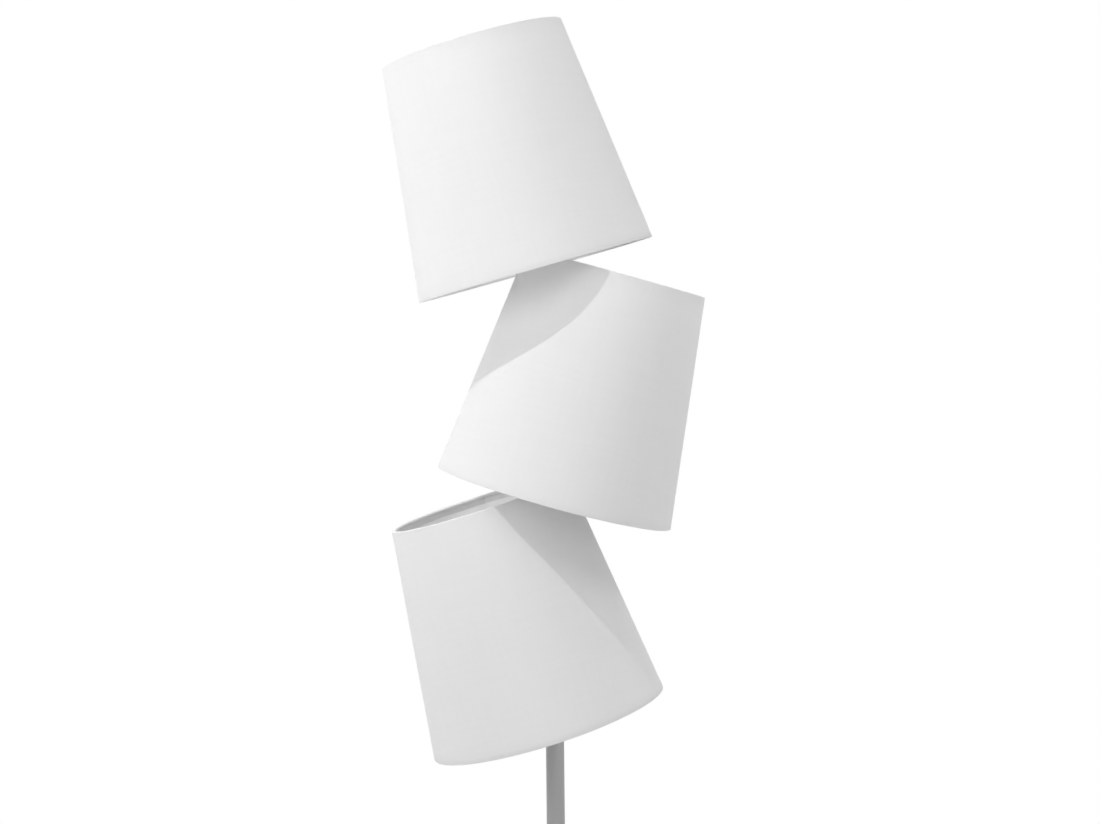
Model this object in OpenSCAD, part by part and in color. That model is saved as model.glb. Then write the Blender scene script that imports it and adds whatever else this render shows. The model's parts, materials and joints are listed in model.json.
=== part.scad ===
// Free-standing floor lamp. One round pole on a weighted disc base carries three
// fabric shades, which lean out to alternate sides of the pole and nest close
// above each other. Millimetres, +Z up. The floor is z = 0, the pole's axis is
// x = y = 0, and the lamp's front looks along -Y.

/* [Pole] */
// Outside diameter of the round pole
pole_d = 20; // [17:0.5:22]
// Wall of the pole's tubes
pole_wall = 1.5; // [1:0.1:2]
// Length of the lowest tube, from the base up to the screwed joint
first_tube_l = 440; // [300:1:600]

/* [Base] */
// Diameter of the base's pressed cover
base_d = 280; // [240:1:340]
// Height of the cover's top face above the floor
base_h = 20; // [19:0.5:30]
// Radius of the rounded edge of the cover
cover_edge_r = 8; // [3:0.5:12]
// Sheet thickness of the cover
cover_t = 1.2; // [0.8:0.1:2]
// Thickness of the soft pad under the base
pad_t = 3; // [1.5:0.5:5]
// Thickness of the steel closing plate
plate_t = 1; // [0.6:0.1:2]
// Width of the pad's bare margin, inside the edge of the base
pad_margin = 5; // [3:0.5:15]
// Radius of the nut's recess in the weight
recess_r = 19; // [17:0.5:30]
// Depth of the nut's recess in the weight
recess_h = 9; // [8:0.5:10]
// Height of the bell-shaped foot around the pole
collar_h = 14; // [8:0.5:30]
// Widest diameter of the bell-shaped foot
collar_d = 44; // [34:1:80]
// Diameter of the flex's hole through the grommet
inlet_d = 6.6; // [5:0.2:7]

/* [Shades] */
// Diameter of a shade at its top edge
shade_top_d = 200; // [190:1:220]
// Diameter of a shade at its bottom edge
shade_bottom_d = 262; // [230:1:290]
// Height of a shade along its own axis
shade_h = 252; // [235:1:280]
// How much closer the heads are spaced than a shade is high
shade_nest = 5; // [0:0.5:8]
// Thickness of the shade's laminated fabric
shade_t = 1; // [0.6:0.1:1.6]
// Thickness of the fabric turned in at the hems
hem_t = 0.6; // [0.3:0.1:1]
// Height of the hem's glued lip inside the shade
hem_h = 10; // [6:0.5:18]
// Diameter of the shade's wire
wire_d = 3; // [2:0.1:4]

/* [Heads] */
// Height of the lowest shade's bottom edge at its centre
first_shade_z = 877; // [750:1:1000]
// Distance of the lower shade's bottom centre from the pole's axis
lower_offset = 6.6; // [4:0.1:12]
// Distance of the middle shade's bottom centre from the pole's axis
middle_offset = 2; // [1:0.1:8]
// Distance of the upper shade's bottom centre from the pole's axis
upper_offset = 15.5; // [8:0.1:20]
// Gap between the lower shade's top edge and the pole; it sets the lean
lower_rim_gap = 6.3; // [5:0.1:14]
// Gap between the middle shade's top edge and the pole; it sets the lean
middle_rim_gap = 15.1; // [8:0.1:20]
// Gap between the upper shade's top edge and the pole's line; it sets the lean
upper_rim_gap = 4.5; // [2:0.1:14]
// Height of a knuckle's underside above its shade's bottom centre
knuckle_lift = 27; // [22:0.5:34]
// Height of a knuckle's barrel
knuckle_h = 28; // [24:0.5:34]
// Diameter of a knuckle's barrel
knuckle_d = 26; // [24:0.5:32]
// Diameter of the boss that carries a lamp holder
boss_d = 16; // [14:0.5:20]

/* [Holder and bulb] */
// Largest diameter of the holder's cap
cap_d = 40; // [37:0.5:42]
// Diameter of the holder's threaded body
body_d = 38.4; // [36:0.2:40]
// Diameter of the two shade rings
ring_d = 48; // [44:0.5:52]
// Height of each shade ring
ring_h = 4.5; // [3:0.5:6]
// Diameter of the spider's centre plate
hub_d = 55; // [52:0.5:60]
// Thickness of the spider's centre plate
hub_t = 1.5; // [1:0.1:2]
// Least gap between the holder and the pole
holder_gap = 1; // [0.6:0.1:3]
// Diameter of the bulb's glass
bulb_d = 60; // [45:1:70]
// Length of the bulb from its contact to its top
bulb_l = 107; // [95:1:112]
// Diameter of the bulb's screw cap
bulb_cap_d = 26.2; // [25:0.1:26.6]

/* [Fits] */
// Diameter of the lamp thread that holds pole, knuckles and holders together
thread_d = 10; // [9:0.1:11]
// Bore of the hollow threaded pieces
thread_bore_d = 7; // [6.6:0.1:7.4]
// Radial play of threads and running bores
play = 0.05; // [0.02:0.01:0.1]
// Clearance where a loose piece is laid into another
seat_gap = 0.3; // [0.2:0.05:0.6]
// Diameter of the flex inside the pole
flex_d = 5.8; // [5:0.1:6]
// Diameter of the leads that branch off into the heads
lead_d = 3.2; // [2.6:0.1:3.4]

/* [Hidden] */
$fn = 96;
eps = 0.5; // how far a cutting body runs past the face that it opens

HEADS = [0, 1, 2]; // lower, middle and upper
LOWER = HEADS[0];
MIDDLE = HEADS[1];
UPPER = HEADS[2];

// --- Pole and threads ---
pole_r = pole_d / 2;
pole_in_r = pole_r - pole_wall;
thread_r = thread_d / 2;
tap_r = thread_r + play;
thread_bore_r = thread_bore_d / 2;
insert_l = 14;
insert_recess = 0.2; // how far an insert stays inside the tube's end
nipple_grip = 11; // how far a nipple screws into an insert
nut_af = thread_d + 4;
nut_h = 4.5;

// --- Heads: where each one sits and how it leans ---
head_pitch = shade_h - shade_nest;
offsets = [lower_offset, middle_offset, upper_offset];
rim_gaps = [lower_rim_gap, middle_rim_gap, upper_rim_gap];
lean_towards = [180, 0, 180]; // the heads lean to -X, +X and -X
shade_top_r = shade_top_d / 2;
shade_bottom_r = shade_bottom_d / 2;
shade_diagonal = sqrt(shade_h * shade_h + shade_top_r * shade_top_r);
function head_z(i) = first_shade_z + i * head_pitch;
// The lean at which the shade's top edge passes the pole with its rim gap
function lean(i) =
  atan(shade_top_r / shade_h) - asin((pole_r + rim_gaps[i] + offsets[i]) / shade_diagonal);
// How far along a shade's axis a round piece of radius r clears the pole of every head
function clear_s(r) =
  max([for (i = HEADS) (pole_r + holder_gap + r * cos(lean(i)) - offsets[i]) / sin(lean(i))]);
function knuckle_z(i) = head_z(i) + knuckle_lift;

// --- Knuckle: lengths along the shade's axis, from its bottom centre ---
knuckle_r = knuckle_d / 2;
boss_r = boss_d / 2;
lead_share = 0.8; // how far up the barrel the lead crosses over to the boss
lead_s = knuckle_lift + lead_share * knuckle_h;
lead_room = 4; // room above and below the lead, where it turns in the boss
stem_grip = 10; // how far the stem screws into the boss
stem_s = lead_s + lead_room;
boss_top_s = stem_s + stem_grip;
boss_bottom_s = lead_s - lead_room;
arm_inset = 0.6; // how far the arm stays inside the boss and the barrel's ends
arm_taper = 3; // how much lower the arm is than the barrel, at each end
arm_step = 2; // how far the boss stands out above the arm
passage_r = 2.5;
window_w = thread_bore_d;
window_h = 8;

// --- Holder ---
cap_r = cap_d / 2;
body_r = body_d / 2;
body_wall = 1.4;
ring_r = ring_d / 2;
notch_r = 1.8; // the rings' finger notches
notch_out = 0.6; // how far outside the ring a notch is centred
hub_r = hub_d / 2;
cap_dome_h = 26;
cap_neck_h = 12; // the cap is solid around the stem up to here
cap_neck_r = 7.5;
cap_neck_top = 6; // where the neck opens into the dome
cap_skirt = 6;
cap_shelf = 2; // width of the ledge that the body stands on
nut_room = 1; // least room between the stem nut and the cap
// Where the cap reaches its full width: clear of the pole, and above the stem nut
cap_s = max(clear_s(cap_r), boss_top_s + nut_h + nut_room + cap_dome_h);
cap_neck_s = cap_s - cap_dome_h;
// The spider's plate: clear of the pole, with its lower ring above the cap's skirt
hub_s = max(clear_s(hub_r), cap_s + cap_skirt + ring_h + nut_room);
mouth_rim = 2; // how far the body stands out above the upper ring
mouth_s = hub_s + hub_t + ring_h + mouth_rim;
core_lift = 1; // gap between the cap's ledge and the core
core_s = cap_s + core_lift;
core_floor = 8;
core_rib = 1; // least wall of the core round the threaded sleeve
contact_r = 4;
contact_t = 0.8;
sleeve_lift = 4; // how far above the core's floor the threaded sleeve begins
sleeve_s = core_s + core_floor + sleeve_lift;
sleeve_inset = 6; // how far below the mouth the threaded sleeve ends
bulb_s = core_s + core_floor + contact_t;
bulb_play = 0.4;
bulb_cap_r = bulb_cap_d / 2;
socket_r = bulb_cap_r + bulb_play;
sleeve_t = 0.5;
core_r = body_r - body_wall - play;

// --- Bulb ---
bulb_cap_l = 26;
bulb_tip_l = 4;
bulb_r = bulb_d / 2;
glass_t = 1;
shoulder = 28; // angle below the ball's equator where the neck takes over
ball_z = bulb_l - bulb_cap_l - bulb_r;
neck_r = bulb_cap_r + 0.8;
neck_l = ball_z - bulb_r * sin(shoulder);

// --- Shade: its wires lie inside the folded hems ---
wire_r = wire_d / 2;
taper = (shade_bottom_r - shade_top_r) / shade_h;
function shade_r(s) = shade_bottom_r - taper * s;
hem_fold_r = wire_r + hem_t;
bottom_wire_s = hem_fold_r;
top_wire_s = shade_h - hem_fold_r;
function wire_ring_r(s) = shade_r(s) - shade_t - wire_r;
spoke_angles = [0, 120, 240];
spoke_foot = [wire_ring_r(bottom_wire_s), bottom_wire_s];
spoke_slope = atan((hub_s - bottom_wire_s) / (spoke_foot[0] - ring_r));
spoke_head = [ring_r + wire_r / sin(spoke_slope) + seat_gap, hub_s + hub_t / 2];

// --- Base ---
base_r = base_d / 2;
skirt_z = pad_t / 2;
plate_z = pad_t;
weight_z = pad_t + plate_t;
weight_top_z = base_h - cover_t;
weight_gap = 1; // room between the weight and the cover's wall
weight_r = base_r - cover_t - weight_gap;
rod_play = 0.3;
washer_t = 1.5;
washer_gap = 3; // room between the washer and the recess's wall
washer_r = recess_r - washer_gap;
washer_z = weight_z + recess_h - washer_t;
nut_z = washer_z - nut_h;
rod_end = 0.5; // how far the rod stands out below the nut
rod_z = nut_z - rod_end;
channel_w = 12;
channel_rise = 3; // how much higher the cable channel is than the nut's recess
grommet_r = 4.9;
grommet_flange_r = 6.5;
grommet_flange_t = 2;
grommet_lift = 1; // how far above the cover's lower edge the grommet's flange is
grommet_z = skirt_z + grommet_flange_r + grommet_lift;
grommet_l = 9;
waist_r = pole_r + 2.5; // the foot's radius where it meets the pole
collar_edge = 2; // height of the foot's straight lower edge

// --- Pole tubes: [bottom, top] of each, from the base up ---
tube_ends = [
  [base_h, base_h + first_tube_l],
  [base_h + first_tube_l, knuckle_z(LOWER)],
  [knuckle_z(LOWER) + knuckle_h, knuckle_z(MIDDLE)],
  [knuckle_z(MIDDLE) + knuckle_h, knuckle_z(UPPER)]
];
top_z = knuckle_z(UPPER) + knuckle_h;
cap_nut_h = 15;
cap_nut_r = pole_r - 0.5;
cap_nut_edge = 3; // least height of the cap nut's straight edge

// ---------------------------------------------------------------- helpers

// The head's upright frame: the pole is its axis and the lean is to +X
module at_head(i)
  translate([0, 0, head_z(i)])
    rotate([0, 0, lean_towards[i]])
      children();

// The same, turned onto the shade's leaning axis, with z = 0 at its bottom centre
module along_lean(i)
  translate([offsets[i], 0, 0])
    rotate([0, lean(i), 0])
      children();

module on_shade_axis(i)
  at_head(i)
    along_lean(i)
      children();

module tube(r, bore_r, h)
  difference() {
    cylinder(r = r, h = h);
    translate([0, 0, -eps])
      cylinder(r = bore_r, h = h + 2 * eps);
  }

module hex_nut(h)
  difference() {
    cylinder(r = nut_af / 2 / cos(30), h = h, $fn = 6);
    translate([0, 0, -eps])
      cylinder(r = tap_r, h = h + 2 * eps);
  }

// A straight round bar between two points of the X-Z plane
module bar(from, to, r) {
  run = to - from;
  translate([from[0], 0, from[1]])
    rotate([0, atan2(run[0], run[1]), 0])
      cylinder(r = r, h = norm(run));
}

// ---------------------------------------------------------------- base

module base_pad()
  color("dimgray")
    cylinder(r = base_r - pad_margin, h = pad_t);

module base_plate()
  color("silver")
    translate([0, 0, plate_z])
      cylinder(r = base_r - cover_t - seat_gap, h = plate_t);

module base_weight()
  color("dimgray")
    difference() {
      rotate_extrude()
        intersection() {
          rounded_half_disc(weight_r, weight_z, weight_top_z, cover_edge_r - cover_t);
          translate([0, weight_z])
            square([weight_r, weight_top_z - weight_z]);
        }
      translate([0, 0, weight_z - eps])
        cylinder(r = recess_r, h = recess_h + eps);
      cylinder(r = thread_r + rod_play, h = base_h);
      translate([-channel_w / 2, 0, weight_z - eps])
        cube([channel_w, base_r, recess_h + channel_rise + eps]);
    }

// Half of a disc's upright section, with its upper edge rounded
module rounded_half_disc(r, z0, z1, edge_r) {
  square_h = z1 - edge_r;
  translate([0, z0])
    square([r, square_h - z0]);
  translate([0, square_h - edge_r])
    square([r - edge_r, 2 * edge_r]);
  translate([r - edge_r, square_h])
    circle(r = edge_r);
}

module base_cover()
  color("gainsboro")
    difference() {
      rotate_extrude()
        difference() {
          intersection() {
            rounded_half_disc(base_r, skirt_z, base_h, cover_edge_r);
            translate([0, skirt_z])
              square([base_r, base_h - skirt_z]);
          }
          intersection() {
            rounded_half_disc(base_r - cover_t, skirt_z - eps, weight_top_z,
                              cover_edge_r - cover_t);
            square([base_r, weight_top_z]);
          }
        }
      cylinder(r = thread_r + rod_play, h = base_h + eps);
      translate([0, 0, grommet_z])
        rotate([-90, 0, 0])
          cylinder(r = grommet_r + play, h = base_r + eps);
    }

module cable_grommet()
  color("dimgray")
    difference() {
      translate([0, base_r, grommet_z])
        rotate([-90, 0, 0])
          difference() {
            union() {
              translate([0, 0, -grommet_l + grommet_flange_t])
                cylinder(r = grommet_r, h = grommet_l);
              translate([0, 0, -1])
                cylinder(r = grommet_flange_r, h = grommet_flange_t + 1);
            }
            translate([0, 0, -grommet_l])
              cylinder(r = inlet_d / 2, h = grommet_l + grommet_flange_t + eps);
          }
      intersection() {
        cylinder(r = base_r, h = base_h);
        translate([0, base_r, grommet_z])
          rotate([-90, 0, 0])
            translate([0, 0, -grommet_l])
              tube(2 * grommet_flange_r, grommet_r, 2 * grommet_l);
      }
    }

module base_rod()
  color("silver")
    translate([0, 0, rod_z])
      tube(thread_r, thread_bore_r, base_h + nipple_grip - rod_z);

module base_washer()
  color("silver")
    translate([0, 0, washer_z])
      tube(washer_r, tap_r, washer_t);

module base_nut()
  color("silver")
    translate([0, 0, nut_z])
      hex_nut(nut_h);

// The bell-shaped foot that hides the pole's joint with the base
module foot_collar() {
  sweep_r = min(collar_d / 2 - waist_r, collar_h - collar_edge);
  color("gainsboro")
    translate([0, 0, base_h])
      rotate_extrude()
        difference() {
          square([waist_r + sweep_r, collar_h]);
          translate([waist_r + sweep_r, collar_edge + sweep_r])
            circle(r = sweep_r);
          translate([waist_r, collar_edge + sweep_r])
            square([sweep_r + eps, collar_h]);
          translate([0, -eps])
            square([pole_r + play, collar_h + 2 * eps]);
        }
}

// ---------------------------------------------------------------- pole

module pole_tube(i)
  color("silver")
    translate([0, 0, tube_ends[i][0]])
      tube(pole_r, pole_in_r, tube_ends[i][1] - tube_ends[i][0]);

// A threaded plug is fixed in each end of each tube
module pole_inserts()
  color("darkgray")
    for (ends = tube_ends, z = [ends[0] + insert_recess, ends[1] - insert_recess - insert_l])
      translate([0, 0, z])
        tube(pole_in_r - play, tap_r, insert_l);

// Hollow nipple with a side window, through which a lead leaves for its head
module windowed_nipple(i, above)
  translate([0, 0, -nipple_grip])
    difference() {
      tube(thread_r, thread_bore_r, nipple_grip + knuckle_h + above);
      rotate([0, 0, lean_towards[i]])
        translate([0, -window_w / 2, nipple_grip + lead_z(i) - window_h / 2])
          cube([thread_d, window_w, window_h]);
    }

// The lead's height above the knuckle's underside, where it crosses over
function lead_z(i) = lead_s * cos(lean(i)) - knuckle_lift;

module pole_nipples()
  color("silver") {
    translate([0, 0, tube_ends[0][1] - nipple_grip])
      tube(thread_r, thread_bore_r, 2 * nipple_grip);
    translate([0, 0, knuckle_z(LOWER)])
      windowed_nipple(LOWER, nipple_grip);
    translate([0, 0, knuckle_z(MIDDLE)])
      windowed_nipple(MIDDLE, nipple_grip);
    translate([0, 0, knuckle_z(UPPER)])
      windowed_nipple(UPPER, nipple_grip);
  }

module pole_cap_nut()
  color("silver")
    translate([0, 0, top_z])
      difference() {
        union() {
          cylinder(r = cap_nut_r, h = cap_nut_edge);
          intersection() {
            translate([0, 0, cap_nut_h - pole_r])
              sphere(r = pole_r);
            cylinder(r = cap_nut_r, h = cap_nut_h);
          }
          cylinder(r = cap_nut_r, h = cap_nut_h - pole_r);
        }
        translate([0, 0, -eps])
          cylinder(r = tap_r, h = nipple_grip + 0.5 + eps);
      }

module pole_flex()
  color("white")
    translate([0, 0, rod_z])
      cylinder(r = flex_d / 2, h = knuckle_z(UPPER) + lead_z(UPPER) + window_h / 2 - rod_z);

// ---------------------------------------------------------------- head

module knuckle(i)
  color("silver")
    at_head(i)
      difference() {
        union() {
          translate([0, 0, knuckle_lift])
            cylinder(r = knuckle_r, h = knuckle_h);
          knuckle_arm(i);
          along_lean(i)
            translate([0, 0, boss_bottom_s])
              cylinder(r = boss_r, h = boss_top_s - boss_bottom_s);
        }
        cylinder(r = tap_r, h = knuckle_lift + knuckle_h + eps);
        // seat of the next tube, which the boss stands beside
        translate([0, 0, knuckle_lift + knuckle_h])
          cylinder(r = pole_r + seat_gap, h = knuckle_h);
        along_lean(i)
          translate([0, 0, stem_s])
            cylinder(r = tap_r, h = boss_top_s);
        along_lean(i)
          translate([0, 0, lead_s]) {
            cylinder(r = passage_r, h = boss_top_s - lead_s);
            sphere(r = passage_r + play);
          }
        translate([0, 0, lead_s * cos(lean(i))])
          rotate([0, 90, 0])
            cylinder(r = passage_r, h = offsets[i] + lead_s * sin(lean(i)));
      }

// The cast arm between the barrel and the boss
module knuckle_arm(i)
  intersection() {
    hull() {
      translate([0, 0, knuckle_lift + arm_taper])
        cylinder(r = boss_r - arm_inset, h = knuckle_h - 2 * arm_taper, $fn = 32);
      along_lean(i)
        translate([0, 0, boss_bottom_s])
          cylinder(r = boss_r - arm_inset, h = boss_top_s - boss_bottom_s - arm_step, $fn = 32);
    }
    translate([-knuckle_d, -knuckle_d, knuckle_lift + arm_inset])
      cube([4 * knuckle_d, 2 * knuckle_d, knuckle_h - 2 * arm_inset]);
  }

module stem(i)
  color("silver")
    on_shade_axis(i)
      translate([0, 0, stem_s])
        tube(thread_r, thread_bore_r, cap_neck_s + cap_neck_h - stem_s);

module stem_nut(i)
  color("silver")
    on_shade_axis(i)
      translate([0, 0, boss_top_s])
        hex_nut(nut_h);

// The lead leaves the pole's flex, turns in the knuckle and runs up to the holder
module lead(i) {
  bend = [offsets[i] + lead_s * sin(lean(i)), lead_s * cos(lean(i))];
  color("white")
    at_head(i) {
      bar([flex_d / 2 + seat_gap, bend[1]], bend, lead_d / 2);
      translate([bend[0], 0, bend[1]])
        sphere(r = lead_d / 2 + play);
      along_lean(i)
        translate([0, 0, lead_s])
          cylinder(r = lead_d / 2, h = core_s - lead_s);
    }
}

module holder_cap(i)
  color("white")
    on_shade_axis(i)
      translate([0, 0, cap_neck_s])
        rotate_extrude()
          polygon(concat(
            [[tap_r, 0], [cap_neck_r, 0]],
            [for (k = [0:6]) dome_point(k / 6, cap_r, cap_neck_top)],
            [
              [cap_r, cap_dome_h + cap_skirt],
              [body_r + play, cap_dome_h + cap_skirt],
              [body_r + play, cap_dome_h]
            ],
            [for (k = [6:-1:0]) dome_point(k / 6, body_r - cap_shelf, cap_neck_h)],
            [[tap_r, cap_neck_h]]
          ));

// A point of the dome, which flares from the neck at height z0 to radius r at its top
function dome_point(t, r, z0) =
  [cap_neck_r + (r - cap_neck_r) * t, z0 + (cap_dome_h - z0) * t * t];

module holder_body(i)
  color("white")
    on_shade_axis(i)
      difference() {
        translate([0, 0, cap_s])
          cylinder(r = body_r, h = mouth_s - cap_s);
        translate([0, 0, cap_s - eps])
          cylinder(r = body_r - body_wall, h = mouth_s - cap_s - body_wall + eps);
        translate([0, 0, cap_s])
          cylinder(r = socket_r + sleeve_t + core_rib, h = mouth_s - cap_s + eps);
      }

module holder_core(i)
  color("white")
    on_shade_axis(i)
      difference() {
        translate([0, 0, core_s])
          cylinder(r = core_r, h = mouth_s - body_wall - seat_gap - core_s);
        translate([0, 0, core_s + core_floor])
          cylinder(r = socket_r + sleeve_t, h = mouth_s - core_s);
      }

// Centre contact and threaded sleeve
module holder_contacts(i)
  color("gold")
    on_shade_axis(i) {
      translate([0, 0, core_s + core_floor])
        cylinder(r = contact_r, h = contact_t);
      translate([0, 0, sleeve_s])
        tube(socket_r + sleeve_t - play, socket_r, mouth_s - sleeve_inset - sleeve_s);
    }

// One ring below the spider's plate and one above it
module shade_rings(i)
  color("white")
    on_shade_axis(i)
      for (s = [hub_s - ring_h, hub_s + hub_t])
        translate([0, 0, s])
          difference() {
            tube(ring_r, body_r + play, ring_h);
            for (a = [0:30:330])
              rotate([0, 0, a])
                translate([ring_r + notch_out, 0, -eps])
                  cylinder(r = notch_r, h = ring_h + 2 * eps, $fn = 24);
          }

// ---------------------------------------------------------------- bulb

module bulb_cap(i)
  color("silver")
    on_shade_axis(i)
      translate([0, 0, bulb_s])
        rotate_extrude()
          polygon([
            [0, 0],
            [4, 0],
            [5, 1.2],
            [bulb_cap_r - 3, bulb_tip_l],
            [bulb_cap_r, bulb_tip_l + 2.5],
            [bulb_cap_r, bulb_cap_l],
            [0, bulb_cap_l]
          ]);

// The glass is a shell: a neck that swells into a ball, open at its lower edge
function neck_swell(t) = neck_r + (bulb_r * cos(shoulder) - neck_r) * (3 * t * t - 2 * t * t * t);
function glass_outline(inset) = concat(
  [for (k = [0:9]) [neck_swell(k / 9) - inset, neck_l * k / 9]],
  [for (a = [8 - shoulder:8:84]) [0, ball_z] + (bulb_r - inset) * [cos(a), sin(a)]],
  [[0, ball_z + bulb_r - inset]]
);
function reversed(points) = [for (k = [len(points) - 1:-1:0]) points[k]];

module bulb_glass(i)
  color("ivory")
    on_shade_axis(i)
      translate([0, 0, bulb_s + bulb_cap_l])
        rotate_extrude()
          polygon(concat(glass_outline(0), reversed(glass_outline(glass_t))));

// ---------------------------------------------------------------- shade

// Section of the leaning wall between two heights, from inner to outer offset
module wall_section(s0, s1, inner, outer)
  polygon([
    [shade_r(s0) - outer, s0],
    [shade_r(s0) - inner, s0],
    [shade_r(s1) - inner, s1],
    [shade_r(s1) - outer, s1]
  ]);

module shade_cover(i)
  color("white")
    on_shade_axis(i)
      difference() {
        rotate_extrude()
          difference() {
            union() {
              wall_section(0, shade_h, 0, shade_t);
              wall_section(hem_fold_r, hem_h, shade_t / 2, shade_t + hem_t);
              wall_section(shade_h - hem_h, top_wire_s, shade_t / 2, shade_t + hem_t);
              for (s = [bottom_wire_s, top_wire_s])
                translate([wire_ring_r(s), s])
                  circle(r = hem_fold_r);
            }
            for (s = [bottom_wire_s, top_wire_s])
              translate([wire_ring_r(s), s])
                circle(r = wire_r + play);
          }
        // slits in the hem, where the spokes leave it
        for (a = spoke_angles)
          rotate([0, 0, a])
            bar(spoke_foot, spoke_head, wire_r + seat_gap);
      }

module wire_ring(s)
  rotate_extrude()
    translate([wire_ring_r(s), s])
      circle(r = wire_r, $fn = 48);

module shade_top_ring(i)
  color("white")
    on_shade_axis(i)
      wire_ring(top_wire_s);

// Bottom ring, three spokes and the plate that sits on the holder
module shade_spider(i)
  color("white")
    on_shade_axis(i) {
      wire_ring(bottom_wire_s);
      translate([0, 0, hub_s])
        tube(hub_r, body_r + play, hub_t);
      for (a = spoke_angles)
        rotate([0, 0, a])
          bar(spoke_foot, spoke_head, wire_r);
    }

// ---------------------------------------------------------------- nodes

base_pad();
base_plate();
base_weight();
base_cover();
cable_grommet();
base_rod();
base_washer();
base_nut();
foot_collar();
pole_tube(0);  // pole_tube_1
pole_tube(1);  // pole_tube_2
pole_tube(2);  // pole_tube_3
pole_tube(3);  // pole_tube_4
pole_inserts();
pole_nipples();
pole_cap_nut();
pole_flex();
knuckle(LOWER);  // lower_knuckle
stem(LOWER);  // lower_stem
stem_nut(LOWER);  // lower_stem_nut
lead(LOWER);  // lower_lead
holder_cap(LOWER);  // lower_holder_cap
holder_body(LOWER);  // lower_holder_body
holder_core(LOWER);  // lower_holder_core
holder_contacts(LOWER);  // lower_holder_contacts
shade_rings(LOWER);  // lower_shade_rings
bulb_cap(LOWER);  // lower_bulb_cap
bulb_glass(LOWER);  // lower_bulb_glass
shade_cover(LOWER);  // lower_shade_cover
shade_top_ring(LOWER);  // lower_shade_top_ring
shade_spider(LOWER);  // lower_shade_spider
knuckle(MIDDLE);  // middle_knuckle
stem(MIDDLE);  // middle_stem
stem_nut(MIDDLE);  // middle_stem_nut
lead(MIDDLE);  // middle_lead
holder_cap(MIDDLE);  // middle_holder_cap
holder_body(MIDDLE);  // middle_holder_body
holder_core(MIDDLE);  // middle_holder_core
holder_contacts(MIDDLE);  // middle_holder_contacts
shade_rings(MIDDLE);  // middle_shade_rings
bulb_cap(MIDDLE);  // middle_bulb_cap
bulb_glass(MIDDLE);  // middle_bulb_glass
shade_cover(MIDDLE);  // middle_shade_cover
shade_top_ring(MIDDLE);  // middle_shade_top_ring
shade_spider(MIDDLE);  // middle_shade_spider
knuckle(UPPER);  // upper_knuckle
stem(UPPER);  // upper_stem
stem_nut(UPPER);  // upper_stem_nut
lead(UPPER);  // upper_lead
holder_cap(UPPER);  // upper_holder_cap
holder_body(UPPER);  // upper_holder_body
holder_core(UPPER);  // upper_holder_core
holder_contacts(UPPER);  // upper_holder_contacts
shade_rings(UPPER);  // upper_shade_rings
bulb_cap(UPPER);  // upper_bulb_cap
bulb_glass(UPPER);  // upper_bulb_glass
shade_cover(UPPER);  // upper_shade_cover
shade_top_ring(UPPER);  // upper_shade_top_ring
shade_spider(UPPER);  // upper_shade_spider
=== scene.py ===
"""Dresses the packed three-shade floor lamp and sets its studio.

Every length is in metres, in the frame of the packed model: the floor is z = 0, the pole's axis
is x = y = 0, and the lamp's front looks along -Y. Sizes and places come from the packed nodes.
"""

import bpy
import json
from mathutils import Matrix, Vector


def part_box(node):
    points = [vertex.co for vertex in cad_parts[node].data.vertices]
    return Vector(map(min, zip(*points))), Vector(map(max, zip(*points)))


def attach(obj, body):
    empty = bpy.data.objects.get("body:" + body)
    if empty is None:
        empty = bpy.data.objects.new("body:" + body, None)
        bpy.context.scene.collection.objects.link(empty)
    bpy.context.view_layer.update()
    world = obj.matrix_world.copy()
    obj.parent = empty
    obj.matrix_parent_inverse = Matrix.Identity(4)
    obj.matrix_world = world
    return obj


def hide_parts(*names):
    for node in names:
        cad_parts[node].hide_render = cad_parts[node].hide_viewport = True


bl_info = {
    "name": "Three-shade floor lamp",
    "version": (1, 0, 0),
    "blender": (4, 5, 0),
    "location": "View3D > Sidebar > Floor lamp",
    "description": "Fabric shades, wire frames, lamp holders, bulbs, pole and base for the packed lamp",
    "category": "Add Mesh",
}

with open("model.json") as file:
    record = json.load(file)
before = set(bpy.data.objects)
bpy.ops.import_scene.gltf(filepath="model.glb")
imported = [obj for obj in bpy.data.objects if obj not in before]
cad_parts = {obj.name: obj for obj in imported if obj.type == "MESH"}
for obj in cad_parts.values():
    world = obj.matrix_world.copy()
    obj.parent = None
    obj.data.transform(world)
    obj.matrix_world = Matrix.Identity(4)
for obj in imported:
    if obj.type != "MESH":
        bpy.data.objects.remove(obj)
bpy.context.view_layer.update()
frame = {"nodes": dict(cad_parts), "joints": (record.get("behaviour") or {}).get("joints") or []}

import json
from math import atan2, cos, pi, radians, sin, tan

import bmesh
import bpy
import numpy as np
from bpy.props import FloatProperty, FloatVectorProperty, PointerProperty
from mathutils import Matrix, Vector, noise

NODES = frame["nodes"]
JOINTS = {joint["name"]: joint for joint in frame["joints"]}
TURN = 2 * pi
MM = 0.001


# ------------------------------------------------------------------ places

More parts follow.
